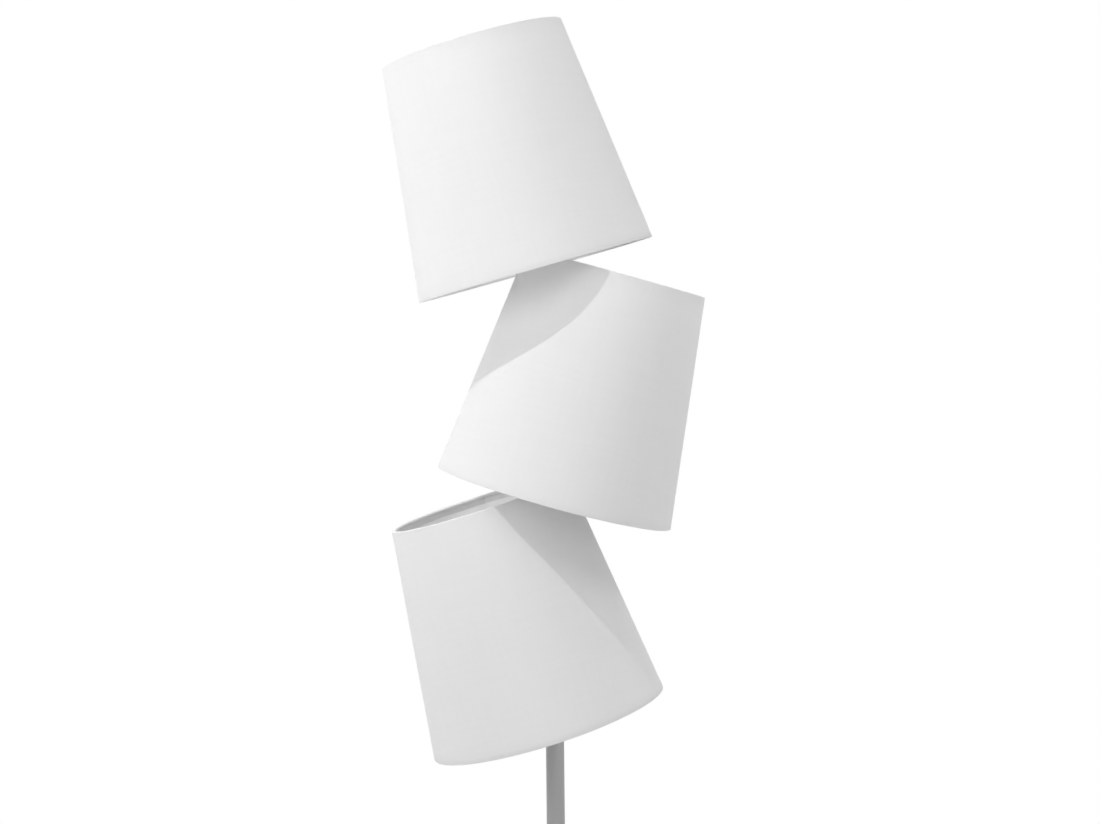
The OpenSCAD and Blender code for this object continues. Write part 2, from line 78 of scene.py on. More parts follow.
class Head:
    """One lamp head: its own axis runs up through the shade, from the middle of the bottom edge."""

    def __init__(self, name):
        joint = JOINTS[name + "_shade_turn"]
        axis = Vector(joint["axis"]).normalized()
        point = Vector(joint["pos_m"])
        side = Vector((0, 1 if axis.x > 0 else -1, 0))
        across = side.cross(axis).normalized()
        low = min((Vector(v.co) - point).dot(axis) for v in NODES[name + "_shade_cover"].data.vertices)
        origin = point + low * axis
        self.name = name
        self.place = Matrix((across, side, axis)).transposed().to_4x4()
        self.place.translation = origin
        self.local = self.place.inverted()
        self.body = name + "_head"
        self.shade_body = name + "_shade"
        self.bulb_body = name + "_bulb"

    def points(self, piece):
        """Radius and height of a packed node's points about this head's axis."""
        co = np.array([self.local @ v.co for v in NODES[f"{self.name}_{piece}"].data.vertices])
        return np.hypot(co[:, 0], co[:, 1]), co[:, 2]

    def reach(self, piece):
        """Lowest and highest place on the axis, and the least and largest radius, of a node."""
        r, s = self.points(piece)
        return s.min(), s.max(), r.min(), r.max()


LAMP_HEADS = [Head(name) for name in ("lower", "middle", "upper")]


# ------------------------------------------------------------------ mesh tools

def linked(name, data):
    """An object in the scene, for a mesh, a lamp or the camera."""
    piece = bpy.data.objects.new(name, data)
    bpy.context.scene.collection.objects.link(piece)
    return piece


def new_object(name, mesh, materials, body, node):
    """A mesh in its finishes, set on its body in place of a packed node."""
    piece = linked(name, mesh)
    for material in materials:
        mesh.materials.append(material)
    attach(piece, body)
    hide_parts(node)


def turned(name, outline, material, body, slot, node, place=None, **how):
    """A piece in one finish whose closed section is turned about an axis."""
    new_object(name, lathe(name, outline, place, closed=True, **how), [material], body, node)


def mesh_of(name, points, faces, corner_uvs=None, face_finish=None, sharp=35):
    """A mesh with smooth shading, and sharp edges only where faces meet at more than an angle."""
    mesh = bpy.data.meshes.new(name)
    mesh.from_pydata([tuple(p) for p in points], [], faces)
    if corner_uvs is not None:
        layer = mesh.uv_layers.new(name="cloth")
        layer.data.foreach_set("uv", np.array(corner_uvs, np.float32).ravel())
    if face_finish is not None:
        mesh.polygons.foreach_set("material_index", np.array(face_finish, np.int32))
    mesh.validate()
    mesh.shade_smooth()
    mesh.set_sharp_from_angle(angle=radians(sharp))
    mesh.update()
    return mesh


def rounded(corners, closed=False, steps=5):
    """A section's outline from (radius, height, fillet) corners, each rounded by its own fillet."""
    corners = [c if len(c) == 3 else (c[0], c[1], 0) for c in corners]
    count = len(corners)
    outline = []
    for k, (r, z, fillet) in enumerate(corners):
        here = Vector((r, z))
        ends = not closed and k in (0, count - 1)
        if ends or fillet <= 0:
            outline.append((r, z))
            continue
        back = Vector(corners[k - 1][:2]) - here
        ahead = Vector(corners[(k + 1) % count][:2]) - here
        angle = back.angle(ahead)
        cut = min(fillet / tan(angle / 2), 0.49 * back.length, 0.49 * ahead.length)
        a, b = here + cut * back.normalized(), here + cut * ahead.normalized()
        for step in range(steps + 1):
            t = step / steps
            outline.append(tuple((1 - t) ** 2 * a + 2 * t * (1 - t) * here + t * t * b))
    return outline


def lathe(name, outline, place=None, turns=128, closed=False, warp=None, finishes=None, sharp=35):
    """Turns a section about the axis. warp moves a point by its angle; closed joins the section's ends."""
    place = place or Matrix.Identity(4)
    angles = [TURN * k / turns for k in range(turns)]
    points, faces, face_finish, rows = [], [], [], []
    for r, z in outline:
        if r < 1e-7:
            rows.append([len(points)] * turns)
            points.append(place @ Vector((0, 0, z)))
            continue
        rows.append(range(len(points), len(points) + turns))
        for angle in angles:
            rr, zz = warp(angle, r, z) if warp else (r, z)
            points.append(place @ Vector((rr * cos(angle), rr * sin(angle), zz)))
    pairs = list(zip(range(len(rows) - 1), range(1, len(rows))))
    if closed:
        pairs.append((len(rows) - 1, 0))
    for a, b in pairs:
        for j in range(turns):
            n = (j + 1) % turns
            face = [rows[a][j], rows[a][n], rows[b][n], rows[b][j]]
            face = [v for i, v in enumerate(face) if v != face[i - 1]]
            if len(face) > 2:
                faces.append(face)
                face_finish.append(finishes[a] if finishes else 0)
    return mesh_of(name, points, faces, face_finish=face_finish, sharp=sharp)


def threaded(low, high, r, depth, pitch, lead_in, rows_per_pitch):
    """Outline rows and a warp for a round thread that fades out at both of its ends."""
    count = max(int(rows_per_pitch * (high - low) / pitch), 2)
    outline = [(r, low + (high - low) * k / count) for k in range(count + 1)]

    def warp(angle, rr, z):
        if not low - 1e-9 <= z <= high + 1e-9 or abs(rr - r) > 1e-9:
            return rr, z
        fade = min(1, (z - low) / lead_in, (high - z) / lead_in)
        wave = 0.5 - 0.5 * cos(TURN * (z / pitch - angle / TURN))
        return rr - depth * max(fade, 0) * wave, z

    return outline, warp


def tube_along(name, path, r, sides, closed=False):
    """A round wire along points, with its sides carried along without twisting."""
    path = [Vector(p) for p in path]
    count = len(path)
    points, faces = [], []
    normal = None
    for k, here in enumerate(path):
        before = path[k - 1] if closed or k else here
        after = path[(k + 1) % count] if closed or k < count - 1 else here
        run = (after - before).normalized()
        if normal is None:
            normal = run.orthogonal().normalized()
        normal = (normal - normal.dot(run) * run).normalized()
        other = run.cross(normal)
        for j in range(sides):
            a = TURN * j / sides
            points.append(here + r * (cos(a) * normal + sin(a) * other))
    for k in range(count if closed else count - 1):
        n = (k + 1) % count
        for j in range(sides):
            m = (j + 1) % sides
            faces.append([k * sides + j, k * sides + m, n * sides + m, n * sides + j])
    if not closed:
        faces.append(list(range(sides))[::-1])
        faces.append([(count - 1) * sides + j for j in range(sides)])
    return mesh_of(name, points, faces, sharp=60)


def joined(name, meshes, sharp=None):
    """One mesh from several."""
    bm = bmesh.new()
    for mesh in meshes:
        bm.from_mesh(mesh)
        bpy.data.meshes.remove(mesh)
    made = bpy.data.meshes.new(name)
    bm.to_mesh(made)
    bm.free()
    if sharp is not None:
        made.shade_smooth()
        made.set_sharp_from_angle(angle=radians(sharp))
    return made


def drop(piece):
    """Removes an object and its mesh."""
    mesh = piece.data
    bpy.data.objects.remove(piece)
    bpy.data.meshes.remove(mesh)


def cut_away(piece, tool):
    """Cuts a tool's shape out of a piece when the piece is baked."""
    cut = piece.modifiers.new(tool.name, "BOOLEAN")
    cut.object, cut.solver = tool, "EXACT"


def baked(piece, name):
    """The mesh that an object has after its modifiers; the object itself is removed."""
    graph = bpy.context.evaluated_depsgraph_get()
    mesh = bpy.data.meshes.new_from_object(piece.evaluated_get(graph), depsgraph=graph)
    mesh.name = name
    drop(piece)
    return mesh


def convex(name, points):
    """The convex hull of points, as a mesh."""
    bm = bmesh.new()
    for point in points:
        bm.verts.new(point)
    bmesh.ops.convex_hull(bm, input=bm.verts)
    mesh = bpy.data.meshes.new(name)
    bm.to_mesh(mesh)
    bm.free()
    return mesh


def circle_points(r, z, place, count=40):
    return [place @ Vector((r * cos(TURN * k / count), r * sin(TURN * k / count), z)) for k in range(count)]


def cylinder(name, r, low, high, place, count=72):
    return lathe(name, [(0, low), (r, low), (r, high), (0, high)], place, turns=count)


# ------------------------------------------------------------------ finishes

class Nodes:
    """A node tree, with short ways to add nodes and to join them."""

    def __init__(self, tree):
        self.nodes = tree.nodes
        self.links = tree.links

    def node(self, kind, **values):
        """A new node, with values for its sockets and its own settings."""
        made = self.nodes.new(kind)
        for name, value in values.items():
            if name in made.inputs:
                made.inputs[name].default_value = value
            else:
                setattr(made, name, value)
        return made

    def math(self, operation, *values, **settings):
        """The output of one Math node that is fed with numbers or other nodes' outputs."""
        made = self.node("ShaderNodeMath", operation=operation, **settings)
        for socket, value in zip(made.inputs, values):
            if isinstance(value, (int, float)):
                socket.default_value = value
            else:
                self.links.new(value, socket)
        return made.outputs[0]

    def span(self, value, low, high, out_low, out_high):
        """A value carried over from one range to another."""
        made = self.node("ShaderNodeMapRange")
        ends = (("From Min", low), ("From Max", high), ("To Min", out_low), ("To Max", out_high))
        for name, number in ends:
            made.inputs[name].default_value = number
        self.links.new(value, made.inputs["Value"])
        return made.outputs["Result"]

    def mixed(self, share, first, second):
        """Two shaders' outputs as one: the first at a share of 0, the second at 1."""
        made = self.node("ShaderNodeMixShader")
        for value, socket in zip((share, first, second), made.inputs):
            self.links.new(value, socket)
        return made.outputs[0]


class Finish(Nodes):
    """A node material on one Principled shader, with the few patterns that this lamp needs."""

    def __init__(self, name, colour, roughness, metallic=0.0, **sockets):
        self.material = bpy.data.materials.new(name)
        self.material.use_nodes = True
        super().__init__(self.material.node_tree)
        self.shader = self.nodes["Principled BSDF"]
        self.shader.inputs["Base Color"].default_value = (*colour, 1)
        self.shader.inputs["Roughness"].default_value = roughness
        self.shader.inputs["Metallic"].default_value = metallic
        for socket, value in sockets.items():
            self.shader.inputs[socket.replace("_", " ")].default_value = value
        self.colour = colour
        self.material.diffuse_color = (*colour, 1)

    def place(self, output="Object", stretch=(1, 1, 1)):
        mapping = self.node("ShaderNodeMapping")
        mapping.inputs["Scale"].default_value = stretch
        self.links.new(self.node("ShaderNodeTexCoord").outputs[output], mapping.inputs["Vector"])
        return mapping.outputs["Vector"]

    def noise(self, scale, detail=3.0, roughness=0.5, output="Object", stretch=(1, 1, 1)):
        made = self.node("ShaderNodeTexNoise", Scale=scale, Detail=detail, Roughness=roughness)
        self.links.new(self.place(output, stretch), made.inputs["Vector"])
        return made.outputs["Fac"]

    def tint(self, value, dark, light):
        """Colours the surface between two shades of its own colour."""
        ramp = self.node("ShaderNodeMix", data_type="RGBA")
        for socket, gain in ((ramp.inputs[6], dark), (ramp.inputs[7], light)):
            socket.default_value = (*[min(c * gain, 1) for c in self.colour], 1)
        self.links.new(value, ramp.inputs[0])
        self.links.new(ramp.outputs[2], self.shader.inputs["Base Color"])

    def vary_roughness(self, value, low, high):
        self.links.new(self.span(value, 0.3, 0.7, low, high), self.shader.inputs["Roughness"])

    def bump(self, value, height, strength=1.0):
        """Raises the surface by a value, on top of the bumps that it already has."""
        made = self.node("ShaderNodeBump", Distance=height, Strength=strength)
        self.links.new(value, made.inputs["Height"])
        before = self.shader.inputs["Normal"]
        if before.is_linked:
            self.links.new(before.links[0].from_socket, made.inputs["Normal"])
        self.links.new(made.outputs["Normal"], before)


def shade_fabric(settings):
    """White lampshade cloth: a fine plain weave with slubs, laid on its laminate."""
    made = Finish("shade fabric", settings.fabric_colour, 0.85, Sheen_Weight=0.04, Sheen_Roughness=0.5,
                  Subsurface_Weight=settings.glow, Subsurface_Scale=settings.glow_depth,
                  Subsurface_Radius=(1, 1, 1), Specular_IOR_Level=0.12)
    split = made.node("ShaderNodeSeparateXYZ")
    made.links.new(made.node("ShaderNodeUVMap", uv_map="cloth").outputs["UV"], split.inputs["Vector"])
    along = [made.math("MULTIPLY", split.outputs[k], pi / settings.thread_pitch) for k in (0, 1)]
    waves = [made.math("SINE", value) for value in along]
    over = made.math("GREATER_THAN", made.math("MULTIPLY", waves[0], waves[1]), 0.0)
    ridges = [made.math("ABSOLUTE", wave) for wave in waves]
    weave = made.node("ShaderNodeMix", data_type="FLOAT")
    made.links.new(over, weave.inputs[0])
    made.links.new(ridges[0], weave.inputs[2])
    made.links.new(ridges[1], weave.inputs[3])
    slub = made.noise(220, detail=4, output="UV", stretch=(1, 0.06, 1))
    cross_slub = made.noise(220, detail=4, output="UV", stretch=(0.06, 1, 1))
    thick = made.math("ADD", slub, cross_slub)
    made.tint(made.span(thick, 0.75, 1.25, 0, 1), 0.985, 1.0)
    made.bump(weave.outputs[0], 0.05 * MM, 0.35)
    made.bump(thick, 0.05 * MM, 0.3)
    return made.material


def shade_liner(settings):
    """Smooth white laminate inside the shade."""
    made = Finish("shade liner", settings.liner_colour, 0.55, Subsurface_Weight=settings.glow,
                  Subsurface_Scale=settings.liner_depth, Subsurface_Radius=(1, 1, 1))
    made.tint(made.noise(60, detail=5), 0.985, 1.0)
    made.bump(made.noise(1600, detail=2), 0.02 * MM, 0.4)
    return made.material


def coated_wire(settings):
    """White dip-coated wire, whose coat's roughness varies a little at random."""
    made = Finish("coated wire", settings.wire_colour, 0.38, Coat_Weight=0.15, Coat_Roughness=0.3)
    made.tint(made.noise(90, detail=4), 0.96, 1.0)
    made.vary_roughness(made.noise(700), 0.32, 0.46)
    made.bump(made.noise(900, detail=3), 0.05 * MM, 0.5)
    return made.material


def powder_coat(settings):
    """Satin silver-grey powder coat with its fine orange-peel skin."""
    dull = settings.pole_roughness
    made = Finish("silver powder coat", settings.pole_colour, dull, metallic=settings.pole_metallic,
                  Coat_Weight=0.08, Coat_Roughness=0.35)
    made.tint(made.noise(2600, detail=2), 0.93, 1.04)
    made.vary_roughness(made.noise(35, detail=4), dull - 0.04, dull + 0.05)
    made.bump(made.noise(1300, detail=2), 0.03 * MM, 0.35)
    return made.material


def cast_coat(settings):
    """The same coat over a die casting, with the casting's softer grain."""
    made = Finish("coated casting", settings.pole_colour, settings.pole_roughness + 0.06,
                  metallic=settings.pole_metallic)
    made.tint(made.noise(1800, detail=3), 0.9, 1.04)
    made.bump(made.noise(500, detail=4), 0.12 * MM, 0.4)
    return made.material


def zinc_plate():
    """Zinc-plated steel with a faint turned grain and dull patches."""
    made = Finish("zinc plate", (0.6, 0.61, 0.62), 0.34, metallic=1.0)
    made.tint(made.noise(260, detail=5), 0.86, 1.06)
    made.vary_roughness(made.noise(180, detail=5), 0.27, 0.46)
    made.bump(made.noise(900, detail=3, stretch=(1, 1, 6)), 0.02 * MM, 0.4)
    return made.material


def cast_iron():
    """Rough primed iron of the weight."""
    made = Finish("cast iron", (0.09, 0.09, 0.092), 0.8, metallic=0.35)
    made.tint(made.noise(120, detail=6), 0.7, 1.3)
    made.bump(made.noise(420, detail=6, roughness=0.65), 0.5 * MM, 0.7)
    return made.material


def foam():
    """Dense black closed-cell foam."""
    made = Finish("pad foam", (0.028, 0.028, 0.03), 0.92)
    cells = made.node("ShaderNodeTexVoronoi", Scale=1100)
    made.links.new(made.place(), cells.inputs["Vector"])
    made.tint(cells.outputs["Distance"], 0.8, 1.5)
    made.bump(cells.outputs["Distance"], 0.25 * MM, 0.6)
    return made.material


def moulded_rubber():
    """Grey moulded rubber of the grommet."""
    made = Finish("grommet rubber", (0.2, 0.2, 0.205), 0.68)
    made.tint(made.noise(300, detail=4), 0.9, 1.08)
    made.bump(made.noise(1500, detail=3), 0.04 * MM, 0.5)
    return made.material


def holder_plastic(settings):
    """White moulded thermoset of the lamp holder, satin with a spark-eroded grain."""
    made = Finish("holder plastic", settings.holder_colour, 0.42, Coat_Weight=0.05)
    made.tint(made.noise(70, detail=4), 0.975, 1.0)
    made.vary_roughness(made.noise(900), 0.36, 0.5)
    made.bump(made.noise(2400, detail=2), 0.025 * MM, 0.5)
    return made.material


def steatite():
    """Unglazed ceramic of the holder's core."""
    made = Finish("steatite", (0.82, 0.79, 0.7), 0.62)
    made.tint(made.noise(500, detail=6), 0.93, 1.02)
    made.bump(made.noise(1200, detail=5), 0.06 * MM, 0.5)
    return made.material


def contact_brass():
    """Pressed brass of the contacts."""
    made = Finish("contact brass", (0.72, 0.5, 0.2), 0.28, metallic=1.0)
    made.tint(made.noise(400, detail=4), 0.85, 1.05)
    made.bump(made.noise(1500, detail=2, stretch=(1, 1, 5)), 0.02 * MM, 0.4)
    return made.material


def rolled_shell():
    """Rolled aluminium of the bulb's screw shell."""
    made = Finish("screw shell", (0.78, 0.78, 0.77), 0.3, metallic=1.0)
    made.tint(made.noise(260, detail=4), 0.88, 1.03)
    made.vary_roughness(made.noise(400, detail=3), 0.22, 0.4)
    made.bump(made.noise(1400, detail=2, stretch=(1, 1, 7)), 0.02 * MM, 0.4)
    return made.material


def black_glass():
    """Black glass round the bulb's foot contact."""
    made = Finish("contact insulator", (0.015, 0.014, 0.016), 0.16)
    made.tint(made.noise(600, detail=3), 0.8, 1.6)
    made.bump(made.noise(900, detail=3), 0.05 * MM, 0.4)
    return made.material


def opal_glass(settings):
    """Opal white glass with a silky surface."""
    made = Finish("opal glass", settings.glass_colour, 0.22, Coat_Weight=0.2, Coat_Roughness=0.12,
                  Subsurface_Weight=0.25, Subsurface_Radius=(0.004, 0.004, 0.0036))
    made.tint(made.noise(35, detail=3), 0.985, 1.0)
    made.bump(made.noise(90, detail=2), 0.04 * MM, 0.3)
    return made.material


def sheath():
    """White cable sheath."""
    made = Finish("cable sheath", (0.8, 0.8, 0.78), 0.45)
    made.tint(made.noise(120, detail=3), 0.95, 1.0)
    made.bump(made.noise(800, detail=2, stretch=(1, 1, 0.1)), 0.04 * MM, 0.4)
    return made.material


def paint_node(name, material):
    """Gives a packed node that stays in view its finish."""
    slots = NODES[name].data.materials
    slots.clear()
    slots.append(material)


# ------------------------------------------------------------------ settings

class LampStageSettings(bpy.types.PropertyGroup):
    """Camera, lamps and floor."""

    camera_place: FloatVectorProperty(
        name="Camera", description="Where the camera stands", subtype="TRANSLATION", unit="LENGTH",
        default=(-0.00172, -2.4387, 1.3477), size=3)
    camera_lens: FloatProperty(
        name="Lens", description="Focal length on a 36 mm wide frame", unit="CAMERA", default=73.6)
    camera_pitch: FloatProperty(
        name="Pitch", description="How far the camera looks down", subtype="ANGLE",
        default=radians(3.07))
    camera_roll: FloatProperty(
        name="Roll", description="How far the camera leans to its side", subtype="ANGLE",
        default=radians(-0.596))
    key_power: FloatProperty(
        name="Key", description="Power of the key lamp", unit="POWER", default=96.0, min=0)
    key_radius: FloatProperty(
        name="Key radius", description="Radius of the key lamp's bulb", unit="LENGTH", default=0.012)
    key_azimuth: FloatProperty(
        name="Key side", description="Turn of the key lamp from the front towards the left",
        subtype="ANGLE", default=radians(38.8))
    key_elevation: FloatProperty(
        name="Key height", description="Angle at which the key lamp is seen from the middle shade",
        subtype="ANGLE", default=radians(57.16))
    key_distance: FloatProperty(
        name="Key distance", description="Distance of the key lamp from the middle shade", unit="LENGTH",
        default=3.0)
    softbox_level: FloatProperty(
        name="Softboxes", description="Level of the softboxes together", default=1.0, min=0)
    softbox_width: FloatProperty(
        name="Softbox width", description="Width of each square softbox", unit="LENGTH", default=0.6)
    room_left: FloatProperty(
        name="Room left", description="Light that the room adds from the left", default=0.12)
    room_back: FloatProperty(
        name="Room back", description="Light that the room adds from behind", default=1.0)
    room_above: FloatProperty(
        name="Room above", description="Light that the room adds from above", default=0.5)
    room_below: FloatProperty(
        name="Room below", description="Light that the room adds from below", default=1.0)
    floor_colour: FloatVectorProperty(
        name="Floor", description="Colour of the studio floor", subtype="COLOR",
        default=(0.86, 0.86, 0.86), min=0, max=1)
    floor_radius: FloatProperty(
        name="Floor radius", description="Radius of the round studio floor", unit="LENGTH", default=2.9)


class LampShadeSettings(bpy.types.PropertyGroup):
    """Cloth, hems and wires of the shades."""

    fabric_colour: FloatVectorProperty(
        name="Cloth", description="Colour of the shade's cloth", subtype="COLOR",
        default=(0.9, 0.9, 0.9), min=0, max=1)
    liner_colour: FloatVectorProperty(
        name="Liner", description="Colour of the laminate inside the shade", subtype="COLOR",
        default=(0.96, 0.96, 0.96), min=0, max=1)
    wire_colour: FloatVectorProperty(
        name="Wire", description="Colour of the coated wire", subtype="COLOR",
        default=(0.84, 0.84, 0.83), min=0, max=1)
    glow: FloatProperty(
        name="Glow", description="Share of the light that enters the cloth", subtype="FACTOR",
        default=1.0, min=0, max=1)
    glow_depth: FloatProperty(
        name="Glow depth", description="How deep light spreads in the cloth", unit="LENGTH",
        default=1.2 * MM)
    liner_depth: FloatProperty(
        name="Liner depth", description="How deep light spreads behind the liner", unit="LENGTH",
        default=3 * MM)
    thread_pitch: FloatProperty(
        name="Thread pitch", description="Distance between the cloth's threads", unit="LENGTH",
        default=0.55 * MM, min=0.2 * MM)
    cloth_thickness: FloatProperty(
        name="Cloth thickness", description="Thickness of cloth and laminate together", unit="LENGTH",
        default=1.0 * MM)
    hem_thickness: FloatProperty(
        name="Hem thickness", description="Thickness of the cloth that is turned in", unit="LENGTH",
        default=0.6 * MM)
    hem_height: FloatProperty(
        name="Hem height", description="Height of the hem's glued lip inside the shade",
        unit="LENGTH", default=10 * MM)
    edge_radius: FloatProperty(
        name="Edge radius", description="Radius of the fold's outer corner", unit="LENGTH",
        default=0.8 * MM)
    wire_diameter: FloatProperty(
        name="Wire diameter", description="Diameter of the shade's wire", unit="LENGTH",
        default=3 * MM)
    seam_step: FloatProperty(
        name="Seam step", description="Height of the lap seam's edge", unit="LENGTH",
        default=0.45 * MM)
    seam_width: FloatProperty(
        name="Seam width", description="Width of the lap seam", unit="LENGTH", default=12 * MM)
    seam_turn: FloatProperty(
        name="Seam turn", description="Turn of the seam from the middle of the back", subtype="ANGLE",
        default=0.0)
    hem_gap: FloatProperty(
        name="Hem gap", description="Gap between the hem's two ends at the seam", unit="LENGTH",
        default=2.2 * MM)


class LampMetalSettings(bpy.types.PropertyGroup):
    """Pole, knuckles and base."""

    pole_colour: FloatVectorProperty(
        name="Coat", description="Colour of the silver-grey coat", subtype="COLOR",
        default=(0.44, 0.44, 0.445), min=0, max=1)
    pole_roughness: FloatProperty(
        name="Coat roughness", description="How dull the coat is", default=0.42, min=0, max=1,
        subtype="FACTOR")
    pole_metallic: FloatProperty(
        name="Coat metal", description="How metallic the coat looks", default=0.35, min=0, max=1,
        subtype="FACTOR")


class LampHolderSettings(bpy.types.PropertyGroup):
    """Lamp holders and bulbs."""

    holder_colour: FloatVectorProperty(
        name="Holder", description="Colour of the holder's plastic", subtype="COLOR",
        default=(0.86, 0.86, 0.84), min=0, max=1)
    glass_colour: FloatVectorProperty(
        name="Glass", description="Colour of the bulb's opal glass", subtype="COLOR",
        default=(0.88, 0.88, 0.86), min=0, max=1)
    shell_pitch: FloatProperty(
        name="Shell pitch", description="Pitch of the bulb's screw shell", unit="LENGTH",
        default=3.63 * MM)
    body_pitch: FloatProperty(
        name="Body pitch", description="Pitch of the thread outside the holder", unit="LENGTH",
        default=2.5 * MM)


# ------------------------------------------------------------------ base and pole

class LAMP_OT_base(bpy.types.Operator):
    """Make the weighted base: cover, foot, grommet and pad, and finish what is inside"""

    bl_idname = "lamp.base"
    bl_label = "Base"

    def execute(self, context):
        coat, zinc = powder_coat(context.scene.lamp_metal), zinc_plate()
        self.cover(coat)
        self.foot(coat)
        self.pad(foam())
        self.grommet(moulded_rubber())
        for name in ("base_plate", "base_rod", "base_washer", "base_nut"):
            paint_node(name, zinc)
        paint_node("base_weight", cast_iron())
        return {"FINISHED"}

    def cover(self, coat):
        low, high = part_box("base_cover")
        radius, sheet, edge, hem = high[0], 1.2 * MM, 8 * MM, 0.4 * MM
        hole, inlet_r, inlet_way = 5.3 * MM, 4.95 * MM, 30 * MM
        outline = rounded([
            (hole, high[2]), (radius, high[2], edge), (radius, low[2], hem), (radius - sheet, low[2], hem),
            (radius - sheet, high[2] - sheet, edge - sheet), (hole, high[2] - sheet)], steps=12)
        name = "base_cover_skin"
        cover = linked("cover", lathe(name, outline, turns=224, closed=True))
        inlet = linked("inlet", cylinder("inlet", inlet_r, low[2], low[2] + inlet_way,
                                         inlet_place(radius - inlet_way / 2), 48))
        cut_away(cover, inlet)
        skin = baked(cover, name)
        drop(inlet)
        skin.set_sharp_from_angle(angle=radians(35))
        new_object(name, skin, [coat], "stand", "base_cover")

    def foot(self, coat):
        low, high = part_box("foot_collar")
        r_in, foot_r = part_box("pole_tube_1")[1][0] + 0.05 * MM, high[0]
        waist, rim, chamfer = r_in + 2.45 * MM, 2 * MM, 0.5 * MM
        sweep = foot_r - waist
        outline = [(r_in, low[2]), (foot_r - chamfer, low[2]), (foot_r, low[2] + chamfer)]
        outline += [(foot_r - sweep * sin(a), low[2] + rim + sweep * (1 - cos(a)))
                    for a in np.linspace(0, pi / 2, 17)]
        outline += rounded([outline[-1], (waist, high[2], 0.8 * MM), (r_in, high[2], 0.5 * MM),
                            (r_in, low[2])])[1:-1]
        turned("foot_collar_bell", outline, coat, "stand", "pole_paint", "foot_collar")

    def pad(self, black_foam):
        low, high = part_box("base_pad")
        outline = rounded([(0, low[2]), (high[0], low[2], 0.9 * MM), (high[0], high[2], 0.7 * MM),
                           (0, high[2])])
        turned("base_pad_foam", outline, black_foam, "stand", "pad", "base_pad", turns=160)

    def grommet(self, rubber):
        low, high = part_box("cable_grommet")
        reach, flange_r = high[1] - low[1], high[0]
        flange, bore, barrel = 2 * MM, 3.3 * MM, 4.9 * MM
        outline = rounded([
            (bore, 0, 0.4 * MM), (barrel, 0, 0.5 * MM), (barrel, reach - flange, 0.2 * MM),
            (flange_r, reach - flange, 0.4 * MM), (flange_r, reach, 0.9 * MM), (bore, reach, 0.8 * MM)],
            closed=True)
        turned("cable_grommet_rubber", outline, rubber, "stand", "grommet", "cable_grommet",
               inlet_place(low[1]), turns=64)


def inlet_place(y):
    """A place on the cable inlet's axis, with its Z running out to the back."""
    low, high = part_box("cable_grommet")
    return Matrix.Translation((0, y, (low[2] + high[2]) / 2)) @ Matrix.Rotation(-pi / 2, 4, "X")


class LAMP_OT_pole(bpy.types.Operator):
    """Make the pole's four tubes and its cap nut, and finish what is inside them"""

    bl_idname = "lamp.pole"
    bl_label = "Pole"

    def execute(self, context):
        coat, zinc = powder_coat(context.scene.lamp_metal), zinc_plate()
        for k in range(1, 5):
            self.tube(f"pole_tube_{k}", coat)
        self.cap_nut(zinc)
        for name in ("pole_inserts", "pole_nipples"):
            paint_node(name, zinc)
        paint_node("pole_flex", sheath())
        return {"FINISHED"}

    def tube(self, node, coat):
        low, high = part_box(node)
        r, wall, edge = high[0], 1.5 * MM, 0.35 * MM
        outline = rounded([
            (r, low[2], edge), (r, high[2], edge), (r - wall, high[2], edge), (r - wall, low[2], edge)],
            closed=True, steps=4)
        turned(node + "_coated", outline, coat, "stand", "pole_paint", node, turns=96)

    def cap_nut(self, zinc):
        low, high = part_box("pole_cap_nut")
        r, bore, depth, dome_h = high[0], 5.05 * MM, 11.5 * MM, 8.2 * MM
        dome_r, shoulder = r - 0.2 * MM, high[2] - low[2] - dome_h
        outline = rounded([(bore, 0), (r, 0, 0.5 * MM), (r, shoulder)])
        outline += [(dome_r * cos(a), shoulder + dome_h * sin(a)) for a in np.linspace(0, pi / 2, 18)[1:]]
        outline += [(0, depth), (bore, depth)]
        turned("pole_cap_nut_dome", outline, zinc, "stand", "plated_steel", "pole_cap_nut",
               Matrix.Translation((0, 0, low[2])), turns=216)


# ------------------------------------------------------------------ knuckles and stems

